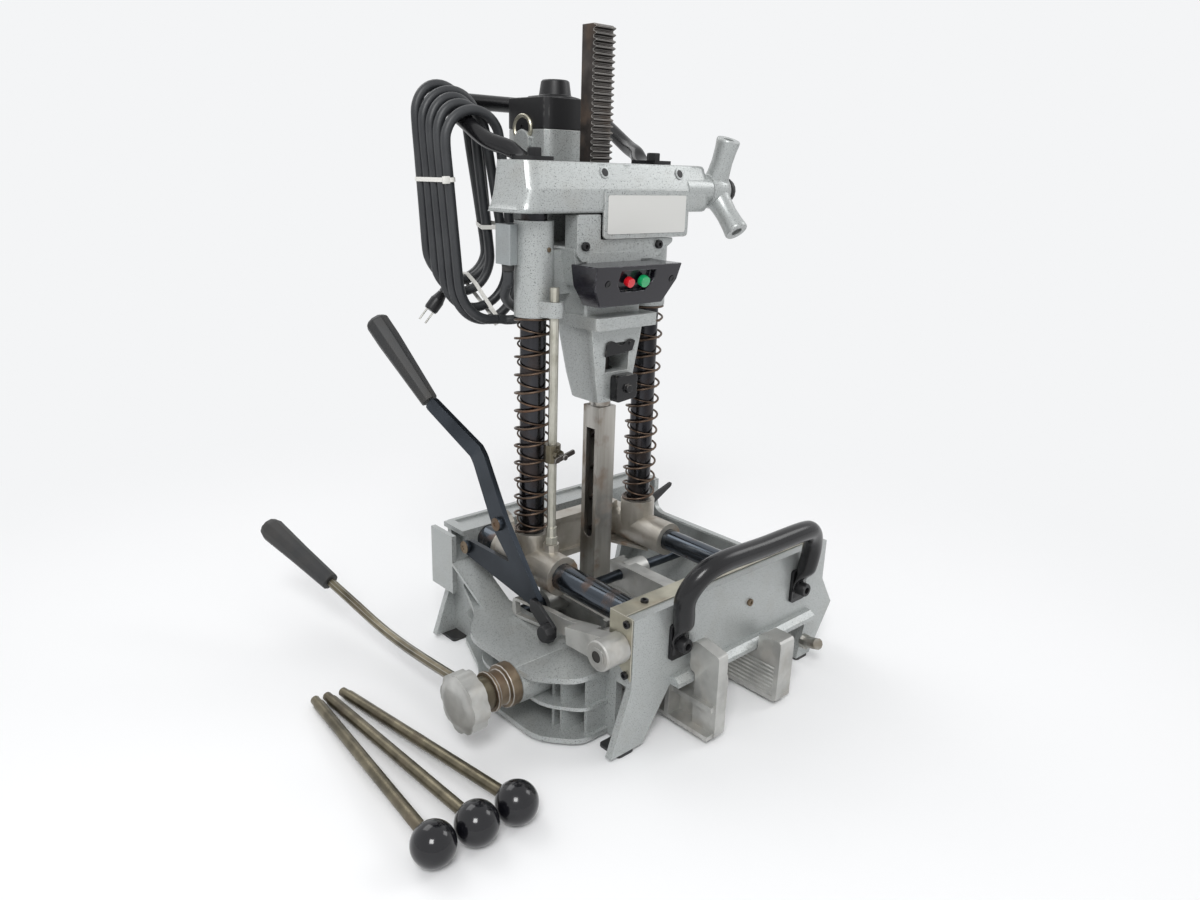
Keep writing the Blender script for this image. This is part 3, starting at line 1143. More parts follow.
def chisel():
    """Square hollow chisel with a round shank, a slot in its left face and pointed corners."""
    half = CHISEL / 2
    body = block(CHISEL_X - half, CHISEL_X + half, CHISEL_Y - half, CHISEL_Y + half, CHISEL_TIP, CHISEL_TOP)
    shank = rod(CHISEL_SHANK / 2, "Z", (CHISEL_X, CHISEL_Y), CHISEL_TOP - FUSE, WINDOW_BOTTOM - RIB)
    body = fused(body, shank)
    bore = rod(half - CHISEL_WALL, "Z", (CHISEL_X, CHISEL_Y), CHISEL_TIP - CUT_OVERRUN,
               WINDOW_BOTTOM + CUT_OVERRUN)
    # The mouth is dished, so that the four corners cut first.
    mouth = turned([(0, CHISEL_TIP - CUT_OVERRUN), (half * 1.12, CHISEL_TIP - CUT_OVERRUN),
                    (half * 0.5, CHISEL_TIP + half * 0.5), (0, CHISEL_TIP + half * 0.5)], "Z", (CHISEL_X, CHISEL_Y))
    slot = [(CHISEL_Y - CHISEL_SLOT / 2, CHISEL_TOP - CHISEL)]
    slot += arc((CHISEL_Y, CHISEL_SLOT_LOW + CHISEL_SLOT / 2), CHISEL_SLOT / 2, math.pi, math.tau, 6)
    slot += [(CHISEL_Y + CHISEL_SLOT / 2, CHISEL_TOP - CHISEL)]
    slot = prism(slot, "X", CHISEL_X - half - CUT_OVERRUN, CHISEL_X)
    named(cut(body, bore, mouth, slot), "chisel", BRIGHT_STEEL, 0.4, 0.95)


def auger():
    """Auger bit: a core with one helical flight, and a round shank up into the spindle."""
    low = AUGER_TIP + AUGER / 2
    high = CHISEL_TOP - CHISEL / 2
    steps = AUGER_TURNS * 7
    bm = bmesh.new()
    rings = []
    for k in range(steps + 1):
        share = k / steps
        angle = math.tau * AUGER_TURNS * share
        height = low + (high - low) * share
        ring_points = []
        for reach, turn in ((AUGER / 2, -0.22), (AUGER / 2, 0.22), (AUGER_CORE / 2, 0.9), (AUGER_CORE / 2, math.pi),
                            (AUGER_CORE / 2, -0.9)):
            ring_points.append(bm.verts.new((
                CHISEL_X + reach * math.cos(angle + turn), CHISEL_Y + reach * math.sin(angle + turn), height)))
        rings.append(ring_points)
    tip = bm.verts.new((CHISEL_X, CHISEL_Y, AUGER_TIP))
    for i in range(5):
        bm.faces.new((rings[0][i], rings[0][(i + 1) % 5], tip))
    bm.faces.new(rings[-1])
    for lower, upper in zip(rings, rings[1:]):
        for i in range(5):
            j = (i + 1) % 5
            bm.faces.new((lower[i], lower[j], upper[j], upper[i]))
    flight = object_from(bm)
    shank = rod(AUGER / 2 - FUSE / 2, "Z", (CHISEL_X, CHISEL_Y), high - FUSE * 3, SPINDLE_TOP)
    named(fused(shank, flight), "auger_bit", DARK_STEEL, 0.4, 0.9, (CHISEL_X, CHISEL_Y, high))


# Feed lever


def on_lever(y, z):
    return (y, z)


def splayed(plate, bend, end, out):
    """Folds the plate at the bend, so that its far end stands out to the left."""
    way = (end - bend).normalized()
    fold = bend + way * LEVER_WIDTH * 0.6
    bm = bmesh.new()
    bm.from_mesh(plate.data)
    bmesh.ops.bisect_plane(bm, geom=bm.verts[:] + bm.edges[:] + bm.faces[:], plane_co=fold, plane_no=way)
    for vert in bm.verts:
        beyond = (vert.co - fold).dot(way)
        vert.co.x -= max(0, beyond) * out / (end - fold).length
    bm.to_mesh(plate.data)
    bm.free()
    return plate


def feed_lever():
    """Flat steel lever: a fork round its pivot, a tail over the slotted arm and a bent bar to the grip."""
    w = LEVER_WIDTH / 2
    left = LEVER_X - LEVER_THICKNESS / 2
    right = LEVER_X + LEVER_THICKNESS / 2
    py, pz = LEVER_PIVOT_Y, LEVER_PIVOT_HEIGHT
    outline = rounded([
        (py + LEVER_BEND_Y + w * 0.9, pz + LEVER_BEND_RISE - w * 0.2),
        (py + GRIP_BASE_Y + w * 0.65, pz + GRIP_BASE_RISE - w * 0.65),
        (py + GRIP_BASE_Y - w * 0.65, pz + GRIP_BASE_RISE + w * 0.65),
        (py + LEVER_BEND_Y - w, pz + LEVER_BEND_RISE + w * 1.1),
        (py - w * 1.1, pz + w * 0.6), (py - LEVER_TAIL_Y - w * 0.5, pz - LEVER_TAIL_DROP + w * 0.4),
        (py - LEVER_TAIL_Y + w * 0.1, pz - LEVER_TAIL_DROP - w * 0.6), (py - LEVER_TAIL_Y + w * 1.6, pz - LEVER_TAIL_DROP - w * 0.3),
        (py + LEVER_HEEL_Y + w * 0.2, pz - LEVER_HEEL_DROP - w * 1.0), (py + LEVER_HEEL_Y + w * 0.9, pz - LEVER_HEEL_DROP),
        (py + LEVER_HEEL_Y - w * 0.1, pz - LEVER_HEEL_DROP + w * 0.8), (py - LEVER_TAIL_Y * 0.30, pz - LEVER_TAIL_DROP * 0.55),
        (py + w * 1.0, pz - w * 0.9),
    ], RIB, 2)
    bend = Vector((LEVER_X, py + LEVER_BEND_Y, pz + LEVER_BEND_RISE))
    base = Vector((LEVER_X, py + GRIP_BASE_Y, pz + GRIP_BASE_RISE))
    plate = splayed(prism(outline, "X", left, right), bend, base, GRIP_BASE_OUT)
    heads = []
    for y, z in ((py, pz), (py + LEVER_HEEL_Y, pz - LEVER_HEEL_DROP)):
        heads.append(turned([
            (0, left + FUSE), (0, left - RIB), (LEVER_SCREW / 2 - FUSE, left - RIB), (LEVER_SCREW / 2, left - RIB / 2),
            (LEVER_SCREW / 2, left + FUSE),
        ][::-1], "X", (y, z), FINE_SIDES))
    named(fused(plate, *heads), "feed_lever", (0.10, 0.12, 0.15), 0.45, 0.7, (LEVER_X, py, pz))
    # Octagonal grip, wider at its far end
    end = Vector((LEVER_X - GRIP_TIP_OUT, py + GRIP_TIP_Y, pz + GRIP_TIP_RISE))
    start = base - Vector((GRIP_BASE_OUT, 0, 0))
    along = end - start
    grip = turned([
        (0, RIB * 0.29), (GRIP_NECK / 2, RIB * 0.29), (GRIP_WIDTH / 2, along.length * 0.75),
        (GRIP_WIDTH / 2, along.length - RIB), (GRIP_WIDTH / 2 - RIB, along.length), (0, along.length),
    ], "Z", (0, 0), 8)
    turn = Vector((0, 0, 1)).rotation_difference(along).to_matrix().to_4x4()
    grip = moved(grip, Matrix.Translation(start) @ turn)
    named(grip, "feed_lever_grip", RUBBER, 0.6, 0.0, (LEVER_X, py, pz))


def slotted_arm():
    """Cast arm that swings on a shaft at the base's front left, with a slot at its free end."""
    py, pz = ARM_PIVOT_Y, ARM_PIVOT_HEIGHT
    right = BASE_LEFT - GAP * 2 - STRIP_THICKNESS
    boss = turned([
        (0, ARM_BOSS_LEFT), (ARM_BOSS / 2 - FUSE, ARM_BOSS_LEFT), (ARM_BOSS / 2, ARM_BOSS_LEFT + FUSE),
        (ARM_BOSS / 2, right), (0, right),
    ], "X", (py, pz))
    shaft = rod(SHAFT / 2, "X", (py, pz), right - FUSE, BASE_LEFT - GAP, FINE_SIDES)
    near, w = ARM_BOSS / 2, ARM_WIDTH / 2
    outline = rounded([
        (0, near * 0.95), (ARM_REACH * 0.45, w * 0.8), (ARM_REACH * 0.62, w * 1.05), (ARM_REACH, w * 1.05),
        (ARM_REACH + RIB, -w * 0.6), (ARM_REACH * 0.96, -w * 1.05), (ARM_REACH * 0.62, -w * 1.05),
        (ARM_REACH * 0.40, -w * 0.75), (0, -near * 0.95),
    ], RIB, 2)
    plate = prism(outline, "X", LEVER_X + LEVER_THICKNESS / 2 - ARM_THICKNESS * 2, LEVER_X + LEVER_THICKNESS / 2 + ARM_THICKNESS + GAP * 2)
    # Step the plate: thick at the boss, thin beside the lever
    step = block(LEVER_X - ARM_BOSS, LEVER_X + LEVER_THICKNESS / 2 + GAP * 2, ARM_REACH * 0.36, ARM_REACH * 1.2, -ARM_BOSS, ARM_BOSS)
    step_in = block(LEVER_X + LEVER_THICKNESS / 2 + GAP * 2, LEVER_X + ARM_BOSS, -ARM_BOSS, ARM_BOSS * 0.9, -ARM_BOSS * 1.1, ARM_BOSS * 1.1)
    slot_mid = ARM_REACH - SLOT_LENGTH / 2 - RIB
    slot = block(LEVER_X - ARM_BOSS, LEVER_X + ARM_BOSS, slot_mid - SLOT_LENGTH / 2, slot_mid + SLOT_LENGTH / 2,
                 -SLOT_HEIGHT / 2, SLOT_HEIGHT / 2)
    plate = cut(plate, step, step_in, slot)
    place = Matrix.Translation((0, py, pz)) @ Matrix.Rotation(ARM_TILT, 4, "X")
    plate = moved(plate, place)
    named(fused(boss, plate, shaft), "slotted_arm", ALUMINIUM, 0.45, 0.8, (ARM_BOSS_LEFT, py, pz))


# Vise


def jaw_profile():
    """Side outline of a jaw: high inside the base, low under the work rail, high again in front."""
    inner = BASE_FRONT + BASE_WALL + JAW_CLEAR
    outer = BASE_FRONT - RAIL_PROUD - JAW_CLEAR
    under = ARCH_HEIGHT - JAW_CLEAR * 2
    return inner, outer, under


def left_jaw():
    inner, outer, under = jaw_profile()
    x1 = JAW_THROAT_LEFT
    low = JAW_FOOT
    face = rounded([
        (JAW_REAR, low), (JAW_REAR, JAW_TOP), (inner, JAW_TOP), (inner, under), (outer, under),
        (outer, JAW_TOP * 0.95), (JAW_FRONT, JAW_TOP * 0.95), (JAW_FRONT, low),
    ], RIB, 2)
    plate = prism(face, "X", x1 - JAW_PLATE, x1)
    back = x1 - JAW_PLATE - JAW_RIB
    parts = [
        block(back, x1 - FUSE, JAW_FRONT + FUSE, JAW_REAR - FUSE, low + FUSE, low + FLANGE),
        block(back + RIB, x1 - FUSE, JAW_FRONT + FUSE, JAW_REAR - FUSE, under - FLANGE * 3, under - FLANGE * 2),
        block(back + RIB, x1 - FUSE, inner + FUSE, JAW_REAR - FUSE, JAW_TOP - FLANGE, JAW_TOP - FUSE),
        block(back, x1 - FUSE, JAW_REAR - FLANGE, JAW_REAR - FUSE, low + FUSE, JAW_TOP - FUSE),
        block(back, x1 - FUSE, BASE_FRONT + FLANGE * 2, BASE_FRONT + FLANGE * 3, low + FUSE, under - FUSE),
        block(back, x1 - FUSE, SCREW_Y + NUT_SLEEVE / 3, SCREW_Y + NUT_SLEEVE / 3 + FLANGE, low + FUSE, JAW_TOP - FUSE),
    ]
    # Front end post with a head that reaches back over the rail
    rail_top = ARCH_HEIGHT + RAIL_HEIGHT + JAW_CLEAR
    post = rounded([
        (outer, low + FUSE), (outer, rail_top), (BASE_FRONT - FLANGE, rail_top), (BASE_FRONT - FLANGE, JAW_HOOK_TOP - RIB),
        (outer, JAW_HOOK_TOP), (JAW_FRONT, JAW_HOOK_TOP - FLANGE), (JAW_FRONT - FUSE, low + FUSE),
    ], RIB, 2)
    parts.append(prism(post, "X", x1 - JAW_POST, x1 - FUSE * 2))
    parts.append(rod(NUT_SLEEVE / 2, "X", (SCREW_Y, SCREW_HEIGHT), x1 - JAW_PLATE - NUT_SLEEVE_LENGTH, x1 - JAW_PLATE + FUSE))
    parts.append(rod(GUIDE_BOSS / 2, "X", (GUIDE_ROD_Y, GUIDE_ROD_HEIGHT), x1 - JAW_PLATE - GUIDE_BOSS, x1 - JAW_PLATE + FUSE))
    jaw = fused(plate, *parts)
    cutters = [
        rod(SCREW / 2 + RUNNING_GAP, "X", (SCREW_Y, SCREW_HEIGHT), x1 - JAW_PLATE - NUT_SLEEVE_LENGTH - CUT_OVERRUN,
            x1 - JAW_PLATE / 2),
        rod(GUIDE_ROD / 2 + RUNNING_GAP, "X", (GUIDE_ROD_Y, GUIDE_ROD_HEIGHT), x1 - JAW_PLATE - GUIDE_BOSS - CUT_OVERRUN, x1 + CUT_OVERRUN, FINE_SIDES),
    ]
    cutters += jaw_grooves(x1, 1)
    named(cut(jaw, *cutters), "left_jaw", ALUMINIUM, 0.45, 0.8, (x1, JAW_FRONT, JAW_FOOT))


def jaw_grooves(face, side):
    """Fine grooves along the gripping face, below the rail."""
    inner, outer, under = jaw_profile()
    pitch = (under - FLANGE - JAW_FOOT) / JAW_GROOVES
    comb = [(face + side * CUT_OVERRUN, JAW_FOOT + pitch)]
    for k in range(1, JAW_GROOVES):
        z = JAW_FOOT + pitch * k
        comb += [(face + side * FUSE / 4, z), (face - side * JAW_GROOVE_DEPTH, z + pitch * 0.3),
                 (face - side * JAW_GROOVE_DEPTH, z + pitch * 0.6), (face + side * FUSE / 4, z + pitch * 0.9)]
    comb.append((face + side * CUT_OVERRUN, JAW_FOOT + pitch * JAW_GROOVES))
    return [prism(comb, "Y", JAW_FRONT + FLANGE, JAW_REAR - FLANGE)]


def right_jaw():
    inner, outer, under = jaw_profile()
    x0 = JAW_THROAT_RIGHT
    low = JAW_FOOT
    face = rounded([
        (JAW_REAR, low), (JAW_REAR, JAW_TOP), (inner, JAW_TOP), (inner, under), (outer, under),
        (outer, JAW_TOP), (JAW_FRONT, JAW_TOP), (JAW_FRONT, low),
    ], FLANGE, 3)
    plate = prism(face, "X", x0, x0 + JAW_PLATE)
    back = x0 + JAW_PLATE + JAW_RIB
    parts = [
        block(x0 + FUSE, back, JAW_FRONT + FUSE, JAW_REAR - FUSE, low + FUSE, low + FLANGE),
        block(x0 + FUSE, back - RIB, JAW_FRONT + FUSE, JAW_REAR - FUSE, under - FLANGE * 3, under - FLANGE * 2),
        block(x0 + FUSE, back - RIB, inner + FUSE, JAW_REAR - FUSE, JAW_TOP - FLANGE, JAW_TOP - FUSE),
        block(x0 + FUSE, back, JAW_REAR - FLANGE, JAW_REAR - FUSE, low + FUSE, JAW_TOP - FUSE),
        block(x0 + FUSE, back, BASE_FRONT + FLANGE * 2, BASE_FRONT + FLANGE * 3, low + FUSE, under - FUSE),
    ]
    flange = rounded([
        (outer, low + FUSE), (outer, JAW_TOP - FUSE), (JAW_FRONT + FUSE, JAW_TOP - FUSE), (JAW_FRONT + FUSE, low + FUSE),
    ], FLANGE, 3)
    parts.append(prism(flange, "X", x0 + FUSE, back))
    parts.append(rod(GUIDE_BOSS / 2, "X", (GUIDE_ROD_Y, GUIDE_ROD_HEIGHT), x0 + JAW_PLATE - FUSE, back + GUIDE_BOSS / 2))
    jaw = fused(plate, *parts)
    jaw = cut(jaw, rod(GUIDE_ROD / 2 + GAP, "X", (GUIDE_ROD_Y, GUIDE_ROD_HEIGHT), x0 - CUT_OVERRUN, back + GUIDE_BOSS, FINE_SIDES),
              *jaw_grooves(x0, -1))
    named(jaw, "right_jaw", ALUMINIUM, 0.45, 0.8)


def vise_screw():
    axis = (SCREW_Y, SCREW_HEIGHT)
    guide = rod(GUIDE_ROD / 2, "X", (GUIDE_ROD_Y, GUIDE_ROD_HEIGHT), FENDER_BACK - BASE_WALL / 2 + GAP,
                BASE_RIGHT + RIGHT_BULGE - BASE_WALL - RIB * 3, FINE_SIDES)
    named(guide, "jaw_guide_rod", DARK_STEEL, 0.4, 0.9)
    left = BASE_LEFT - FENDER_REACH
    end = left - BUSH_LENGTH
    bush = turned([
        (SCREW / 2 + RUNNING_GAP, left - GAP), (BUSH_OUTER / 2, left - GAP), (BUSH_OUTER / 2, left - BUSH_LENGTH * 0.3),
        (BUSH_OUTER * 0.40, left - BUSH_LENGTH * 0.34), (BUSH_OUTER * 0.40, left - BUSH_LENGTH * 0.6),
        (BUSH_OUTER * 0.46, left - BUSH_LENGTH * 0.63), (BUSH_OUTER * 0.46, left - BUSH_LENGTH * 0.72),
        (SCREW / 2 + RUNNING_GAP, left - BUSH_LENGTH * 0.72),
    ], "X", axis)
    named(bush, "screw_bush", (0.30, 0.22, 0.13), 0.45, 0.8)
    ring_right = left - BUSH_LENGTH * 0.72 - GAP * 2
    ring_left = ring_right - CLAMP_RING_LENGTH
    knob_right = ring_left - GAP * 2
    knob_left = knob_right - KNOB_LENGTH
    screw = rod(SCREW / 2, "X", axis, knob_left + KNOB_LENGTH / 2, SCREW_RIGHT, FINE_SIDES)
    named(screw, "clamp_screw", BRIGHT_STEEL, 0.35, 0.9, (knob_left, *axis))
    # Knob: eight lobes round a rim, with a dished outer face
    lobes = []
    steps = KNOB_LOBES * 4
    for k in range(steps):
        angle = math.tau * k / steps
        reach = KNOB / 2 - KNOB * 0.045 * (1 - abs(math.cos(angle * KNOB_LOBES / 2)) ** 0.6)
        lobes.append((axis[0] + reach * math.cos(angle), axis[1] + reach * math.sin(angle)))
    knob = prism(lobes, "X", knob_left + RIB, knob_right - RIB)
    dome = turned([
        (0, knob_left), (KNOB * 0.30, knob_left), (KNOB * 0.42, knob_left + RIB * 0.6), (KNOB * 0.44, knob_left + RIB + FUSE),
        (0, knob_left + RIB + FUSE),
    ], "X", axis)
    neck = rod(KNOB * 0.28, "X", axis, knob_right - RIB - FUSE, knob_right)
    knob = fused(knob, dome, neck)
    knob = cut(knob, rod(SCREW / 2 + GAP, "X", axis, knob_left + KNOB_LENGTH / 2 - GAP, knob_right + CUT_OVERRUN, FINE_SIDES))
    named(knob, "clamp_knob", ALUMINIUM, 0.4, 0.85, (knob_left, *axis))
    # Clamp lever: a ring round the screw and a bent bar to the grip
    hub = ring(SCREW / 2 + RUNNING_GAP, CLAMP_RING / 2, "X", axis, ring_left, ring_right)
    middle = (ring_left + ring_right) / 2
    route = [(middle, axis[0] + CLAMP_RING * 0.35, axis[1])]
    route += [(middle + x, axis[0] + y, axis[1] + z) for x, y, z in CLAMP_ROUTE]
    path = smooth_path(route, 3)
    bar = tube(path, CLAMP_BAR / 2, 2)
    lever = cut(fused(hub, bar), rod(SCREW / 2 + RUNNING_GAP, "X", axis, ring_left - CUT_OVERRUN, ring_right + CUT_OVERRUN))
    named(lever, "clamp_lever", OLIVE_ZINC, 0.35, 0.85, (middle, *axis))
    start = Vector(path[-1])
    along = (Vector(path[-1]) - Vector(path[-3])).normalized()
    grip = turned([
        (0, GAP * 2), (CLAMP_GRIP * 0.36, GAP * 2), (CLAMP_GRIP * 0.42, CLAMP_GRIP_LENGTH * 0.5),
        (CLAMP_GRIP / 2, CLAMP_GRIP_LENGTH * 0.92), (CLAMP_GRIP * 0.40, CLAMP_GRIP_LENGTH), (0, CLAMP_GRIP_LENGTH),
    ], "Z", (0, 0), FINE_SIDES)
    turn = Vector((0, 0, 1)).rotation_difference(along).to_matrix().to_4x4()
    named(moved(grip, Matrix.Translation(start) @ turn), "clamp_lever_grip", RUBBER, 0.6, 0.0, (middle, *axis))


# Carry handles


def front_handle():
    y0 = BASE_FRONT - GAP - TAB_THICKNESS / 2
    left, right = FRONT_FOOT_LEFT, FRONT_FOOT_RIGHT
    bar = tube(smooth_path(FRONT_ROUTE, 2), FRONT_TUBE / 2, 3)
    tabs = []
    for x in (left, right):
        tab = rounded([
            (x - TAB_WIDTH / 2, FRONT_FOOT_HEIGHT - TAB_LENGTH / 2), (x + TAB_WIDTH / 2, FRONT_FOOT_HEIGHT - TAB_LENGTH / 2),
            (x + TAB_WIDTH / 2, FRONT_FOOT_HEIGHT + TAB_LENGTH * 0.7), (x - TAB_WIDTH / 2, FRONT_FOOT_HEIGHT + TAB_LENGTH * 0.7),
        ], RIB, 2)
        tabs.append(prism(tab, "Y", y0 - TAB_THICKNESS / 2, y0 + TAB_THICKNESS / 2))
        tabs.append(rod(BOLT_HEAD / 2, "Y", (x, FRONT_FOOT_HEIGHT), y0 - TAB_THICKNESS / 2 - BOLT_HEAD * 0.75,
                        y0 - TAB_THICKNESS / 2 + FUSE, FINE_SIDES))
    named(fused(bar, *tabs), "front_carry_handle", BLACK_PAINT, 0.25, 0.3)


def rear_handle():
    z0 = CROSSHEAD_TOP + GAP
    back, rise = REAR_HANDLE_BACK, REAR_HANDLE_RISE
    low = z0 + REAR_TUBE / 2 + GAP
    fore = REAR_ARM_FOOT
    aft = REAR_ARM_TOP
    route = [(-HALF, fore[1] - TAB_LENGTH * 1.3, low), (-HALF - RIB * 2, fore[1] - TAB_LENGTH * 0.7, low + RIB), fore]
    route += [tuple(a + (b - a) * share for a, b in zip(fore, aft)) for share in (0.5, 1)]
    route += [(aft[0] + RIB * 1.5, back - RIB / 2, rise), (aft[0] + FLANGE * 4, back, rise)]
    route += [(-x, y, z) for x, y, z in route[::-1]]
    bar = tube(smooth_path(route, 2), REAR_TUBE / 2, 2)
    parts = []
    for x in (-HALF, HALF):
        tab = rounded([
            (x - TAB_WIDTH / 2, -TAB_LENGTH / 2), (x + TAB_WIDTH / 2, -TAB_LENGTH / 2),
            (x + TAB_WIDTH / 2, TAB_LENGTH * 0.7), (x - TAB_WIDTH / 2, TAB_LENGTH * 0.7),
        ], RIB, 2)
        parts.append(prism(tab, "Z", z0, z0 + TAB_THICKNESS))
        parts.append(rod(BOLT_HEAD * 0.4, "Z", (x, 0), z0 + TAB_THICKNESS - FUSE, z0 + TAB_THICKNESS + BOLT_HEAD * 0.55, FINE_SIDES))
    named(fused(bar, *parts), "rear_carry_handle", BLACK_PAINT, 0.3, 0.3)


def loose_rods():
    for k, (ball_spot, far_spot) in enumerate(zip(ROD_BALLS, ROD_FAR_ENDS), 1):
        ball_centre = Vector((*ball_spot, BALL / 2))
        far = Vector((*far_spot, ROD / 2))
        along = (far - ball_centre).normalized()
        far = ball_centre + along * (ROD_LENGTH + BALL / 2)
        lift = ROD / 2 + GAP - far.z
        far.z += lift
        along = (far - ball_centre).normalized()
        points = [(0, -BALL / 2)]
        for step in range(1, 7):
            angle = -math.pi / 2 + step * math.pi * 0.90 / 7
            points.append((BALL / 2 * math.cos(angle), BALL / 2 * math.sin(angle)))
        points += [(ROD / 2 + FUSE, BALL * 0.47), (ROD / 2, BALL * 0.5)]
        length = ROD_LENGTH + BALL / 2
        points += [(ROD / 2, length - ROD * 2), (ROD * 0.42, length - ROD * 2), (ROD * 0.42, length), (0, length)]
        shape = turned(points, "Z", (0, 0), FINE_SIDES)
        turn = Vector((0, 0, 1)).rotation_difference(along).to_matrix().to_4x4()
        shape = moved(shape, Matrix.Translation(ball_centre) @ turn)
        named(shape, f"hub_rod_{k}", OLIVE_ZINC, 0.35, 0.8)


# Cord


def coil_frame():
    """The coil hangs on the handle's left arm: its place, its axes and the arm's slope across it."""
    fore, aft = Vector(REAR_ARM_FOOT), Vector(REAR_ARM_TOP)
    along = aft - fore
    across = Vector((math.cos(COIL_TURN), math.sin(COIL_TURN), 0))
    normal = Vector((-math.sin(COIL_TURN), math.cos(COIL_TURN), 0))
    slant = along / along.dot(normal)
    return fore + along * COIL_SHARE, across, slant


def coil_points():
    """One unbroken winding: loops side by side along the handle's arm, from its top to its foot."""
    step = CORD * COIL_STEP_SHARE
    held, across, slant = coil_frame()
    arm_rise = REAR_TUBE / 2 / math.cos(math.asin(min(1, slant.normalized().z)))
    top = held + Vector((0, 0, arm_rise + COIL_SLACK - (COIL_TOP_RADIUS - CORD / 2)))
    sideways = across * math.cos(COIL_LEAN) + Vector((0, 0, math.sin(COIL_LEAN)))
    down = across * math.sin(COIL_LEAN) - Vector((0, 0, math.cos(COIL_LEAN)))
    bottom = top + down * COIL_DROP
    tangent = math.asin((COIL_BOTTOM_RADIUS - COIL_TOP_RADIUS) / COIL_DROP)
    # Stations round one loop: place between the two arcs (0 bottom, 1 top) and direction from its centre
    stations = [(0, -math.pi / 2 + (tangent + math.pi / 2) * k / 4) for k in range(4)]
    stations += [(k / 4, tangent) for k in range(4)]
    stations += [(1, tangent + (math.pi - tangent * 2) * k / 7) for k in range(7)]
    stations += [(1 - k / 4, math.pi - tangent) for k in range(4)]
    stations += [(0, math.pi - tangent + (math.pi / 2 + tangent) * k / 5) for k in range(5)]
    points = []
    for i in range(COIL_LOOPS * COIL_POINTS + 1):
        side = COIL_LOOPS / 2 - i / COIL_POINTS
        place, angle = stations[i % COIL_POINTS]
        radius = COIL_BOTTOM_RADIUS + (COIL_TOP_RADIUS - COIL_BOTTOM_RADIUS) * place
        fan = 1 + COIL_FAN * (1 - place)
        points.append(bottom + (top - bottom) * place + sideways * radius * math.cos(angle)
                      - down * radius * math.sin(angle) + slant * side * step * fan)
    # A short tail bends down to the plug.
    start, back = points[0], (points[0] - points[1]).normalized()
    tail = [start + back * PLUG_TAIL * k - Vector((0, 0, PLUG_TAIL * PLUG_DROOP * k * k / 2)) for k in (1.5, 1, 0.5)]
    return tail + points


def least_gap(points, radius):
    """Least distance between the tube's surfaces, away from neighbouring points."""
    least = 1.0
    reach = COIL_POINTS // 2
    for i in range(len(points)):
        for j in range(i + reach, len(points) - 1):
            a, b = points[j], points[j + 1]
            line = b - a
            share = max(0.0, min(1.0, (points[i] - a).dot(line) / line.length_squared))
            least = min(least, (points[i] - a - line * share).length)
    return least - radius * 2


def cord():
    points = coil_points()
    gap = least_gap(points, CORD / 2)
    length = sum((b - a).length for a, b in zip(points, points[1:]))
    print(f"cord coil: least gap {gap * 1000:.2f} mm, length {length:.3f} m")
    named(tube_curve(points, CORD / 2, 1), "cord_coil", RUBBER, 0.6, 0.0)
    # The lead leaves the coil's inner end and rises to the gland under the terminal box.
    spot = gland_spot()
    gland = Vector((*spot, TERMINAL_BOTTOM - GLAND_LENGTH - GAP * 2))
    heading = (points[-1] - points[-2]).normalized()
    start = points[-1] + heading * GAP * 2
    route = [start, start + heading * CORD / 2] + [Vector(p) for p in LEAD_ROUTE]
    route += [gland - Vector((0, 0, CORD)), gland]
    lead = smooth_path(route, 3)
    length = sum((b - a).length for a, b in zip(lead, lead[1:]))
    print(f"cord lead: length {length:.3f} m")
    named(tube_curve(lead, CORD / 2, 2), "cord_lead", RUBBER, 0.6, 0.0)
    # Plug at the coil's outer end, with a round body and two blades
    heading = (points[0] - points[1]).normalized()
    body = turned([
        (0, 0), (CORD / 2 + FUSE / 2, 0), (PLUG_WIDTH / 2, PLUG_LENGTH * 0.35), (PLUG_WIDTH / 2, PLUG_LENGTH), (0, PLUG_LENGTH),
    ], "Z", (0, 0), 12)
    blades = [
        block(side * PLUG_WIDTH / 4 - FUSE / 2, side * PLUG_WIDTH / 4 + FUSE / 2, -PLUG_WIDTH / 5, PLUG_WIDTH / 5,
              PLUG_LENGTH - FUSE, PLUG_LENGTH + PLUG_WIDTH)
        for side in (-1, 1)
    ]
    plug = fused(body, *blades)
    turn = Vector((0, 0, 1)).rotation_difference(heading).to_matrix().to_4x4()
    named(moved(plug, Matrix.Translation(points[0] + heading * GAP * 3) @ turn), "plug", RUBBER, 0.5, 0.0)


# Small pieces on the base and the carriage


def leg_stub():
    """Short round rod that sticks out of the right front leg."""
    start = Vector(STUB_FOOT)
    end = Vector(STUB_END)
    along = end - start
    stub = rod(SHAFT / 2, "Z", (0, 0), 0, along.length, FINE_SIDES)
    turn = Vector((0, 0, 1)).rotation_difference(along).to_matrix().to_4x4()
    stub = moved(stub, Matrix.Translation(start) @ turn)
    collar = rod(SHAFT * 0.64, "Y", (start.x, start.z), start.y - FLANGE / 2, BASE_FRONT - GAP, FINE_SIDES)
    named(fused(collar, stub), "leg_stub_rod", DARK_STEEL, 0.4, 0.8)


def lock_lever():
    """Flat hand lever that locks the right bushing to its bar."""
    x, y, z = LOCK_SPOT
    stud = turned([
        (0, x), (LOCK_STUD / 2, x), (LOCK_STUD / 2, x + LOCK_STUD), (0, x + LOCK_STUD),
    ], "X", (y, z), FINE_SIDES)
    tip = Vector(LOCK_TIP)
    w = LOCK_STUD * 0.6
    outline = rounded([
        (x + LOCK_STUD * 0.4, z - w), (x + LOCK_STUD * 0.9, z - w * 1.2), (tip.x, tip.z - w * 0.7), (tip.x, tip.z),
        (x + LOCK_STUD * 0.7, z + w),
    ], RIB, 2)
    blade = prism(outline, "Y", y - RIB / 2, y + RIB / 2)
    named(fused(stud, blade), "lock_lever", BLACK_PAINT, 0.4, 0.5, (x, y, z))


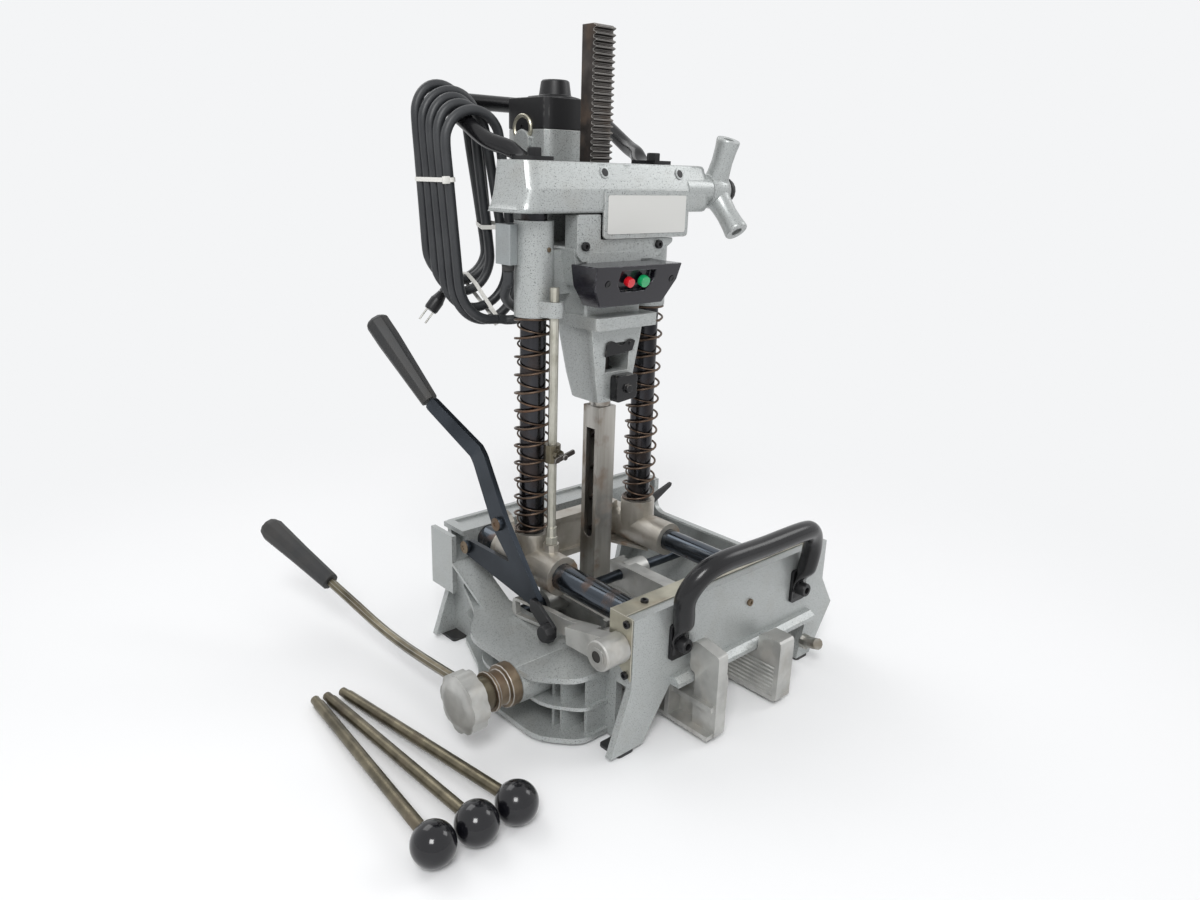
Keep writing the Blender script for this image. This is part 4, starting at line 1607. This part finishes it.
def lever_catch():
    """Crank on the lever's tail with a knob that reaches into the slotted arm's slot line."""
    py, pz = LEVER_PIVOT_Y - LEVER_TAIL_Y, LEVER_PIVOT_HEIGHT - LEVER_TAIL_DROP
    left = LEVER_X - LEVER_THICKNESS / 2 - GAP
    ky, kz = CATCH_SPOT
    w = CATCH_KNOB * 0.3
    outline = rounded([
        (py + w, pz - w), (py + w, pz + w), (py - w, pz + w), (ky - w, kz + w), (ky - w, kz - w), (ky + w, kz - w),
    ], RIB / 2, 2)
    plate = prism(outline, "X", left - RIB, left)
    knob = turned([
        (0, left - RIB - CATCH_KNOB * 0.5), (CATCH_KNOB * 0.40, left - RIB - CATCH_KNOB * 0.5),
        (CATCH_KNOB / 2, left - RIB - CATCH_KNOB * 0.3), (CATCH_KNOB / 2, left - RIB * 1.2), (0, left - RIB * 0.8),
    ], "X", (ky, kz), FINE_SIDES)
    named(fused(plate, knob), "lever_catch", BLACK_PAINT, 0.4, 0.2, (left, py, pz))


base_casting()
base_fittings()
cover_strip()
carriage_casting()
columns()
springs()
depth_stop()
crosshead()
rack()
pinion_and_hub()
head_casting()
motor()
switch_box()
chisel_holder()
holder_fittings()
chisel()
auger()
feed_lever()
slotted_arm()
left_jaw()
right_jaw()
vise_screw()
front_handle()
rear_handle()
loose_rods()
cord()
leg_stub()
lock_lever()
lever_catch()


# The origin goes under the middle of the whole object; the power cord isn't counted.


def centre_on_floor():
    graph = bpy.context.evaluated_depsgraph_get()
    low, high = Vector((math.inf,) * 3), Vector((-math.inf,) * 3)
    for item in bpy.data.objects:
        if item.name in ("cord_coil", "cord_lead", "plug"):
            continue
        solid = item.evaluated_get(graph)
        for vertex in solid.to_mesh().vertices:
            place = solid.matrix_world @ vertex.co
            low = Vector(map(min, low, place))
            high = Vector(map(max, high, place))
        solid.to_mesh_clear()
    shift = -(low + high) / 2
    shift.z = -low.z
    for item in bpy.data.objects:
        item.location += shift
    print("moved by", [round(value * 1000, 2) for value in shift], "mm; size",
          [round(value * 1000, 1) for value in high - low], "mm")


centre_on_floor()
